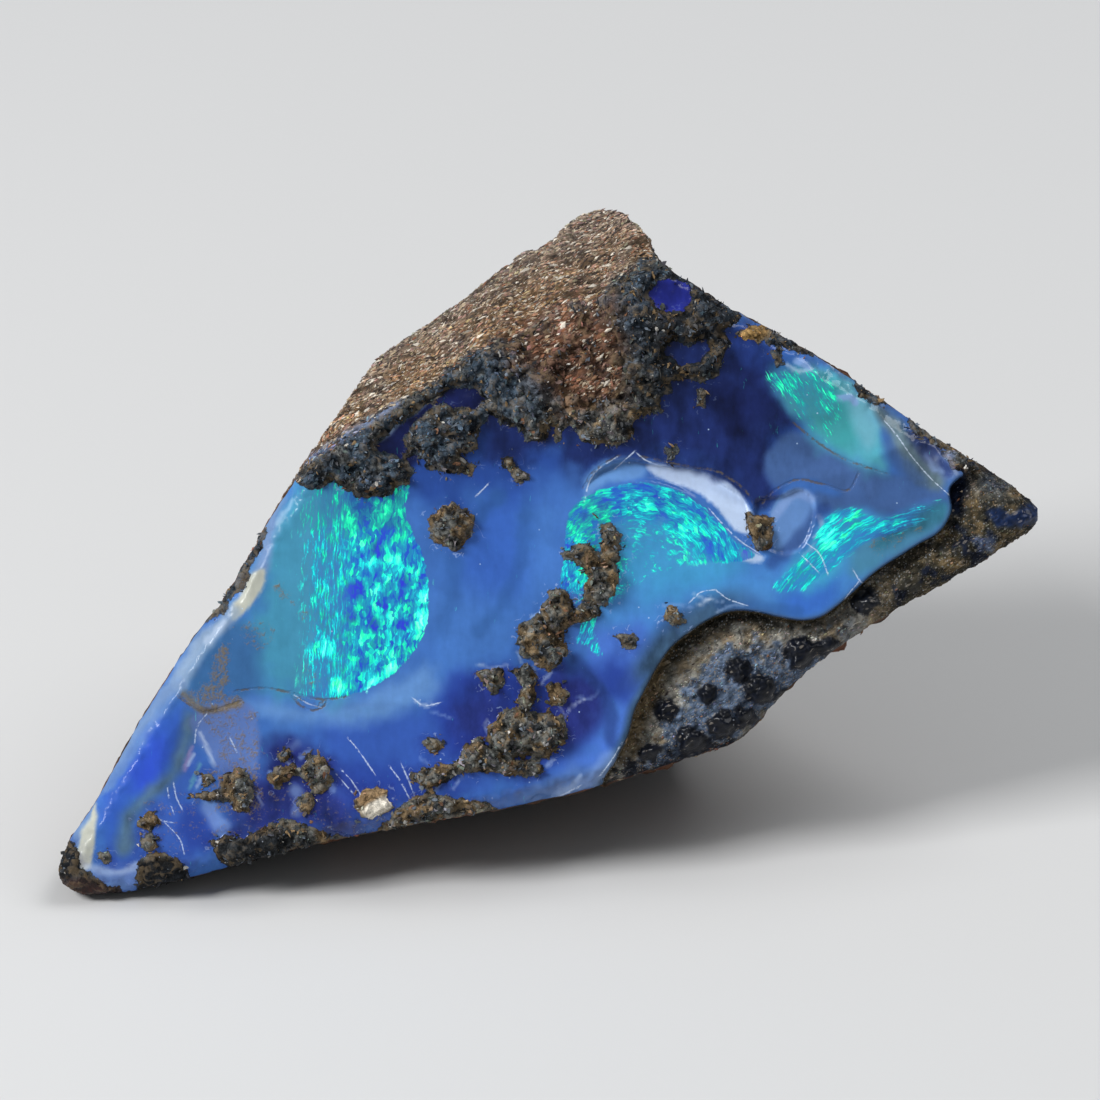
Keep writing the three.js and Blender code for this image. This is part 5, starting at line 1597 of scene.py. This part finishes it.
def makeStoneMaterial():
    material, start = startMaterial("boulderOpalStone")
    read = start.read
    place = read("facePlace", "Vector")
    fineNoise = place.noise(0.16, 3, 0.6)
    midNoise = place.noise(0.5, 3, 0.6)
    broadNoise = place.noise(2.4, 3, 0.5)
    fine = fineNoise - 0.5
    mid = midNoise - 0.5
    hollowSide = read("hollow")
    atLedge = 1 - abs(hollowSide).rising(0.1, 0.5)
    rockSide = read("rock") + (fine * 0.35 + mid * 0.25) * (1 - atLedge * 0.85)
    isRock = rockSide.rising(-0.03, 0.03)
    isOpal = 1 - isRock

    # the opal's body: cloudy, with faint fibres
    tint = read("opalTint", "Vector")
    fibre = place.stretched(1, 0.3, 1).noise(0.45, 3, 0.55)
    cloud = 0.72 + broadNoise * 0.36 + (fibre - 0.5) * 0.2 + mid * 0.16
    navy = 1 - tint.part("Z").rising(0.15, 0.4)
    cloud = cloud + navy * (place.stretched(1, 0.55, 1).noise(1.5, 4, 0.6) - 0.46) * 2.6
    body = tint.scaled(cloud)

    # play of colour, in streaks and flakes along each patch's grain
    grain = read("fireGrain", "Vector")
    warpWay = place.noise(0.7, 2).also("Color")
    warped = grain.joined(warpWay.scaled(0.28))
    streaks = warped.stretched(1, 0.09, 1).noise(0.09, 3, 0.6) - 0.5
    ribbon = warped.stretched(1, 0.22, 1).noise(0.42, 2)
    flake = warped.stretched(1.5, 0.8, 1).cells(fireLook["flakeSize"])
    chip = warped.joined(warpWay.scaled(0.3)).stretched(1.6, 0.6, 1).cells(fireLook["chipSize"])
    cluster = place.noise(1.5, 2) - 0.5
    chipTone = chip.also("Color").part("Y")
    flakeTone = flake.also("Color").part("X") * 0.4 + chipTone * 0.52 + streaks * 0.7
    flakeTone = flakeTone + cluster * 1.1 + 0.04
    threadTone = streaks * 2.2 + (ribbon - 0.5) * 1.3 + cluster * 0.5 + 0.46
    flakes = read("flakes")
    fireTone = threadTone * (1 - flakes) + flakeTone * flakes + read("fireLift")
    fire = read("fire")
    fireShare = (fire * 1.9 + (fireTone - 0.5) * 0.9 - 0.45).rising(0, 0.7)
    fireShare = fireShare * (flakes + (1 - flakes) * (0.35 + 0.65 * fireTone.rising(0.3, 0.62)))
    greenish = (read("green") + (chipTone - 0.5) * 0.6 + cluster * 1.2).rising(0.3, 0.9)
    flash = greenish.pick(fireTone.ramp(fireLook["blueStops"]), fireTone.ramp(fireLook["greenStops"]))
    flash = fireTone.rising(1.1, 1.5).over(flash, fireLook["brightest"])
    body = fireShare.pick(body, flash)
    litShare = fireShare * fireTone.rising(0.5, 0.85)

    # seams, pale lines that are scratches and painted glints, frost, painted shade beside the crust, specks
    # and dust
    marks = []
    for kind in ("pale", "frost"):
        thin = abs(read(kind + "Line")) + fine * 0.1 + mid * 0.22
        marks.append((1 - thin.rising(0, 0.07)) * read(kind + "LineShare") * midNoise.rising(0.36, 0.5))
    paleMark = marks[0].most(marks[1])
    body = paleMark.over(body, opalLook["scratchAndGlint"])
    crustSide = read("crust")
    crackle = abs(place.joined(warpWay.scaled(0.5)).noise(0.9, 2) - 0.5)
    frosty = (1 - crackle.rising(0.004, 0.02)) * crustSide.rising(-0.8, -0.4) * midNoise.rising(0.52, 0.6)
    frosty = frosty * (1 - place.part("Y").rising(1, 6) * 0.8)
    body = frosty.over(body, opalLook["frost"])
    # painted shade: the opal darkened to navy beside the raised crust, in its lower part
    beside = crustSide.rising(-1.1, -0.1) * (midNoise + broadNoise - 0.75).rising(0, 0.5)
    beside = beside * (1 - place.part("Y").rising(-8, -3))
    body = beside.over(body, opalLook["shadeBesideCrust"])
    brownLine = abs(read("brownLine")) + fine * 0.2
    brownMark = (1 - brownLine.rising(0.03, 0.11)) * read("brownLineShare")
    body = (brownMark * midNoise.rising(0.42, 0.6)).over(body, opalLook["seam"])
    speck = place.cells(0.62)
    speckShare = (1 - speck.rising(0.05, 0.11)) * speck.also("Color").part("X").rising(0.9, 0.93)
    body = speckShare.over(body, opalLook["speck"])
    dust = read("dust")
    dusty = (dust * 0.74 + fine * 1.2 + mid * 1.2).rising(0.4, 0.9)
    clean = 1 - dusty
    body = dusty.over(body, opalLook["dust"])

    # the rock: crumbs with painted shade in their gaps and hollows, pale and ochre grains, and painted glints
    rockTintHere = read("rockTint", "Vector")
    inHollow = hollowSide.rising(-0.1, 0.1)
    crumb = place.cells(0.34)
    crumbTone = crumb.also("Color").part("X")
    gap = place.joined(warpWay.scaled(0.3)).cells(0.75, "DISTANCE_TO_EDGE")
    turned = {"Vector": place, "Angle": rockLook["grainAngle"]}
    flow = start.node("ShaderNodeVectorRotate", {"rotation_type": "Z_AXIS"}, turned)
    sandGrain = flow.stretched(0.42, 1, 1).cells(0.17)
    sandTone = sandGrain.also("Color").part("X")
    crustShare = crustSide.rising(-0.15, 0.05)
    offCrust = 1 - crustShare
    salt = place.noise(0.07, 2, 0.7) - 0.5
    shade = 0.29 + crumbTone * 0.48 + fineNoise * 0.6 + mid * 1.5 + salt * 1.8
    # painted shade: darker in the gaps between crumbs
    shade = shade * (0.45 + 0.55 * gap.rising(0, 0.09))
    sandShade = 0.25 + sandTone * 0.75 + fineNoise * 0.4 + mid * (0.8 - inHollow * 0.5)
    shade = shade * crustShare + sandShade * offCrust
    high = read("high")
    # painted shade: darker where the rock stands out less than what lies around it, lighter where it stands
    # out more; pale tints get a little brighter
    shade = shade * (0.42 + 0.92 * high.rising(-0.6, 1)) + rockTintHere.part("Z").rising(0.5, 0.75) * 0.4
    rock = rockTintHere.scaled(shade)
    tanCloud = place.noise(1.1, 3, 0.6)
    rimTan = 1 - abs(crustSide - 0.15).rising(0.02, 0.28)
    tanShare = (tanCloud - 0.5) * 2.2 + (crumbTone - 0.5) * 0.6 + mid * 1.2 + high * 0.25
    tanShare = (tanShare + rimTan * 0.35).rising(0.05, 0.6)
    rock = (tanShare * crustShare).over(rock, rockLook["tan"])
    whiteGrain = sandTone.rising(0.88, 0.92) * offCrust * midNoise.rising(0.4, 0.55)
    whiteGrain = whiteGrain * (1 - sandGrain.rising(0.35, 0.6)) * read("sandy").most(inHollow * 0.3)
    rock = whiteGrain.over(rock, rockLook["whiteGrain"])
    dot = place.cells(0.15)
    dotTone = dot.also("Color")
    dotShare = (1 - dot.rising(0.3, 0.5)) * (dotTone.part("X") + mid * 1.4).rising(0.5, 0.56)
    gloss = read("gloss")
    dotShare = dotShare * inHollow * (1 - gloss) * rockTintHere.part("X").rising(0.015, 0.06)
    rock = dotShare.over(rock, (rockLook["dotStrength"], dotTone.part("Y").pick(*rockLook["dotColours"])))
    # painted highlights: small bright glints laid over the rock's colour
    glint = place.cells(0.28)
    glintShare = (1 - glint.rising(0.1, 0.22)) * glint.also("Color").part("Y").rising(0.95, 0.97)
    rock = glintShare.over(rock, rockLook["glint"])

    colour = isRock.pick(body, rock)
    worn = read("worn")
    rockRough = rockLook["roughness"] - gloss * (rockLook["roughness"] - rockLook["glossRoughness"])
    rockRough = rockRough - crustShare * midNoise.rising(0.52, 0.68) * 0.35
    opalRough = opalLook["roughness"] + dusty * 0.5 + broadNoise * 0.08 + paleMark * 0.2 + worn * 0.45
    roughness = opalRough * isOpal + (rockRough - glintShare * 0.4) * isRock
    coat = isOpal * clean * (1 - worn) * opalLook["coat"] + gloss * isRock * 0.2
    # painted glow: the brightest fire also emits light
    paintedGlowShare = litShare * isOpal * clean
    emission = flash.scaled(paintedGlowShare * fireLook["glow"])

    opalBump = mid * 0.006 + streaks * fire * 0.01 + dusty * 0.02 - brownMark * 0.03
    rockBump = fineNoise * 0.09 + salt * 0.03 + (1 - crumb) * 0.05 * crustShare
    rockBump = rockBump + (1 - sandGrain) * 0.05 * offCrust
    rockBump = rockBump * (1 - gloss * 0.75)
    bumpHeight = opalBump * isOpal + (rockBump + 0.05) * isRock
    start.surface({
        "Base Color": colour,
        "Roughness": roughness,
        "IOR": opalLook["ior"],
        "Specular IOR Level": opalLook["specular"],
        "Coat Weight": coat,
        "Coat Roughness": opalLook["coatRoughness"],
        "Emission Color": emission,
        "Emission Strength": 1.0,
        "Normal": bumpHeight.bumped(rockLook["bump"]),
    })
    return material


skin.data.materials.append(makeStoneMaterial())
print("stone material made")


# Small lumps sit in the skin: crumbs on the crust, grains on the brown side and in the hollow.
def lumpShape(halved):
    # an octahedron, with its edges halved or not: directions, faces, and its corners in a square map
    points = [(1, 0, 0), (-1, 0, 0), (0, 1, 0), (0, -1, 0), (0, 0, 1), (0, 0, -1)]
    sides = [(0, 2, 4), (2, 1, 4), (1, 3, 4), (3, 0, 4), (2, 0, 5), (1, 2, 5), (3, 1, 5), (0, 3, 5)]
    faces = [] if halved else sides
    halves = {}
    for side in sides if halved else []:
        between = []
        for start, end in zip(side, side[1:] + side[:1]):
            edge = (min(start, end), max(start, end))
            if edge not in halves:
                halves[edge] = len(points)
                points.append(tuple((np.array(points[start]) + np.array(points[end])) * math.sqrt(0.5)))
            between.append(halves[edge])
        faces.append(tuple(between))
        faces += [(side[0], between[0], between[2]), (side[1], between[1], between[0]),
                  (side[2], between[2], between[1])]
    points = np.array(points, dtype=float)
    faces = np.array(faces)
    corners = points[faces]
    corners /= np.abs(corners).sum(2, keepdims=True)
    octant = np.sign(corners.mean(1))[:, None, :2]
    outer = (1 - np.abs(corners[:, :, 1::-1])) * octant
    below = corners.mean(1)[:, 2] < 0
    return points, faces, np.where(below[:, None, None], outer, corners[:, :, :2])


def scatterOnSkin(weights, number, draw):
    # random places on the skin, thicker where the weights are higher
    chance = np.linalg.norm(crossOf(skinPoints, skinFaces), axis=1) * weights[skinFaces].mean(1)
    picked = draw.choice(len(skinFaces), number, p=chance / chance.sum())
    shares = draw.dirichlet((1, 1, 1), number)[:, :, None]
    return (skinPoints[skinFaces[picked]] * shares).sum(1), skinFaces[picked, 0]


def lumpsOnSkin(name, look, weights, draw):
    directions, faces, flat = lumpShape(look["halved"])
    number = look["number"]
    places, nearest = scatterOnSkin(weights, number, draw)
    normals = normalsAfter[nearest] + draw.normal(0, look["tilt"], (number, 3))
    normals /= np.linalg.norm(normals, axis=1)[:, None]
    flow = np.array(look["flow"]) + draw.normal(0, look["stray"], (number, 3))
    along = flow - (flow * normals).sum(1)[:, None] * normals
    along /= np.linalg.norm(along, axis=1)[:, None]
    beside = np.cross(normals, along)
    size = draw.uniform(0, 1, number) ** look["small"]
    size = look["least"] + (look["most"] - look["least"]) * size
    size *= np.where(hollowHere[nearest] > 0, look["inHollow"], 1)
    luck = draw.random(number)
    size *= np.where(luck < look["bigShare"] * crestShare[nearest], look["bigger"], 1)
    shapes = directions * draw.uniform(*look["uneven"], (number, len(directions), 1))
    shapes = shapes * (size[:, None] * draw.uniform(0.7, 1.3, (number, 3)) * look["form"])[:, None, :]
    points = places[:, None] + normals[:, None] * (size * look["rise"])[:, None, None]
    for axis, arm in enumerate((along, beside, normals)):
        points = points + shapes[:, :, axis, None] * arm[:, None]
    points = points.reshape(-1, 3)
    points = keepInBox(points, np.repeat(~onBack[nearest], len(directions)))
    allFaces = (np.arange(number)[:, None, None] * len(directions) + faces).reshape(-1, 3)
    piece = meshOf(name, points, allFaces, False)
    tint = rockTint[nearest] * draw.uniform(*look["shade"], (number, 1))
    tint = tint * draw.uniform(0.93, 1.07, (number, 3))
    luck += np.where(hollowHere[nearest] > 0, draw.random(number), 0)
    for share, colour in look["strays"]:
        strayTint = np.array(colour) * draw.uniform(0.75, 1.1, (number, 1))
        tint = np.where((luck < share)[:, None], strayTint, tint)
        luck = np.where(luck < share, 9, luck)  # each lump is a stray of one kind at most
    paintOn(piece, "lumpTint", np.repeat(asLight(tint), len(directions), 0))
    paintOn(piece, "lumpPlace", layDown(points))
    # each lump has its own small square of the flat map, with a little room about it
    across = math.ceil(math.sqrt(number))
    squares = np.stack([np.arange(number) % across, np.arange(number) // across], 1)
    mapOut(piece, (squares[:, None, None] + 0.5 + 0.46 * flat) / across)
    print(name + ":", number, "lumps,", len(allFaces), "triangles")
    return piece


crustCrumbsLook = {
    "number": 6000,
    "halved": True,  # 32 faces each, and not 8
    "least": 0.04,
    "most": 0.18,
    "small": 2.4,  # the higher, the fewer large ones
    "inHollow": 0.6,  # as large there as elsewhere
    "form": (1.5, 0.9, 0.35),  # length, width and height
    "bigShare": 0,
    "bigger": 1,
    "uneven": (0.25, 1.4),  # how far its corners reach
    "rise": 0.1,  # how far it stands out, in its own size
    "tilt": 0.9,
    "flow": (1, 0, 0),  # the way it lies, and how far it may stray from that
    "stray": 2,
    "shade": (0.5, 1.35),
    # lumps of another colour: up to which share of all, and the colour
    "strays": [(0.03, (196, 192, 184)), (0.12, (140, 114, 78)), (0.15, (120, 82, 56)), (0.28, (28, 32, 38)),
               (0.42, (108, 118, 130))],
    "roughness": 0.8,
}
sandGrainsLook = {
    "number": 16000,
    "halved": False,
    "least": 0.04,
    "most": 0.15,
    "small": 2.6,
    "inHollow": 0.6,
    "form": (1.9, 0.8, 0.6),
    "bigShare": 0.014,
    "bigger": 1.6,
    "uneven": (0.68, 1.2),
    "rise": 0.15,
    "tilt": 0.25,
    "flow": (0.84, 0.25, 0.48),
    "stray": 0.3,
    "shade": (0.6, 1.4),
    "strays": [(0.09, (222, 212, 196)), (0.24, (180, 160, 134)), (0.4, (62, 48, 42)), (0.46, (140, 92, 64))],
    "roughness": 0.7,
}


def makeLumpMaterial(name, look):
    material, start = startMaterial(name)
    place = start.read("lumpPlace", "Vector")
    fine = place.noise(0.08, 3, 0.6)
    broad = place.noise(0.3, 2)
    start.surface({
        "Base Color": start.read("lumpTint", "Vector").scaled(0.1 + fine * 1.2 + broad * 0.5),
        "Roughness": look["roughness"] - broad.rising(0.5, 0.65) * 0.4,
        "Normal": (fine * 0.05).bumped(),
    })
    return material


normalsAfter = normalsOf(skinPoints, skinFaces)
crumbWeights = (smooth(crustHere, -0.45, 0.05) * 0.5 + smooth(crustHere, -0.05, 0.3)) * (1 - glossHere)
notOrange = 1 - smooth(rockTint[:, 0], 170, 200)
crumbWeights = crumbWeights * onFront * notOrange
brownWeights = isBrown * (1 - smooth(crustHere, -0.2, 0.1))
grainWeights = np.maximum(brownWeights, 0.5 * isHollow * (1 - smooth(beadsHere, -0.2, 0)))
grainWeights += onBack * 0.25 * sandy
grainWeights *= (0.3 + smooth(rowNoise, -0.5, 0.3)) * (1 - glossHere)
lumps = []
for name, look, weights in (
        ("crustCrumbs", crustCrumbsLook, crumbWeights), ("sandGrains", sandGrainsLook, grainWeights)):
    lumps.append(lumpsOnSkin(name, look, weights, np.random.default_rng(len(name))))
    lumps[-1].data.materials.append(makeLumpMaterial(name + "Look", look))

studio = {
    "floorWidth": 4,  # in metres, as the other lengths here
    "floorColour": (205, 205, 205),
    "floorRoughness": 0.7,
    "viewDistance": 0.6,
    "viewWidth": 0.06875,
    "sensor": 36,  # in millimetres
    # square lights: place, size and power
    "lights": {"keyLight": ((-0.46, -0.2, 0.42), 0.22, 4.2), "fillLight": ((0.3, 0.1, 0.55), 0.4, 2.0)},
    "sky": (0.9, 0.95, 1, 1),
    "skyStrength": 0.24,
}
corner = studio["floorWidth"] / 2
floorMesh = bpy.data.meshes.new("floor")
floorCorners = [(-corner, -corner, 0), (corner, -corner, 0), (corner, corner, 0), (-corner, corner, 0)]
floorMesh.from_pydata(floorCorners, [], [(0, 1, 2, 3)])
floorMaterial, start = startMaterial("paleFloor")
start.surface({"Base Color": shown(*studio["floorColour"]), "Roughness": studio["floorRoughness"]})
floorMesh.materials.append(floorMaterial)
floor = addObject("floor", floorMesh)


def turnTo(item, looking):
    item.rotation_euler = looking.to_track_quat("-Z", "Y").to_euler()


target = Vector(faceMiddle) * millimetre
looking = Vector((0, math.cos(face["lean"]), -math.sin(face["lean"])))
camera = addObject("camera", bpy.data.cameras.new("camera"))
camera.location = target - looking * studio["viewDistance"]
turnTo(camera, looking)
camera.data.sensor_width = studio["sensor"]
camera.data.lens = studio["sensor"] * studio["viewDistance"] / studio["viewWidth"]
bpy.context.scene.camera = camera
for name, (place, size, power) in studio["lights"].items():
    lamp = addObject(name, bpy.data.lights.new(name, "AREA"))
    lamp.data.size = size
    lamp.data.energy = power
    lamp.location = place
    turnTo(lamp, target - Vector(place))
world = bpy.data.worlds.new("studio")
world.use_nodes = True
background = world.node_tree.nodes["Background"]
background.inputs["Color"].default_value = studio["sky"]
background.inputs["Strength"].default_value = studio["skyStrength"]
bpy.context.scene.world = world
bpy.context.scene.view_settings.view_transform = "Standard"
print("floor, camera and lights placed")

for piece in [skin] + lumps:
    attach(piece, "root")
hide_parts(nodeName)
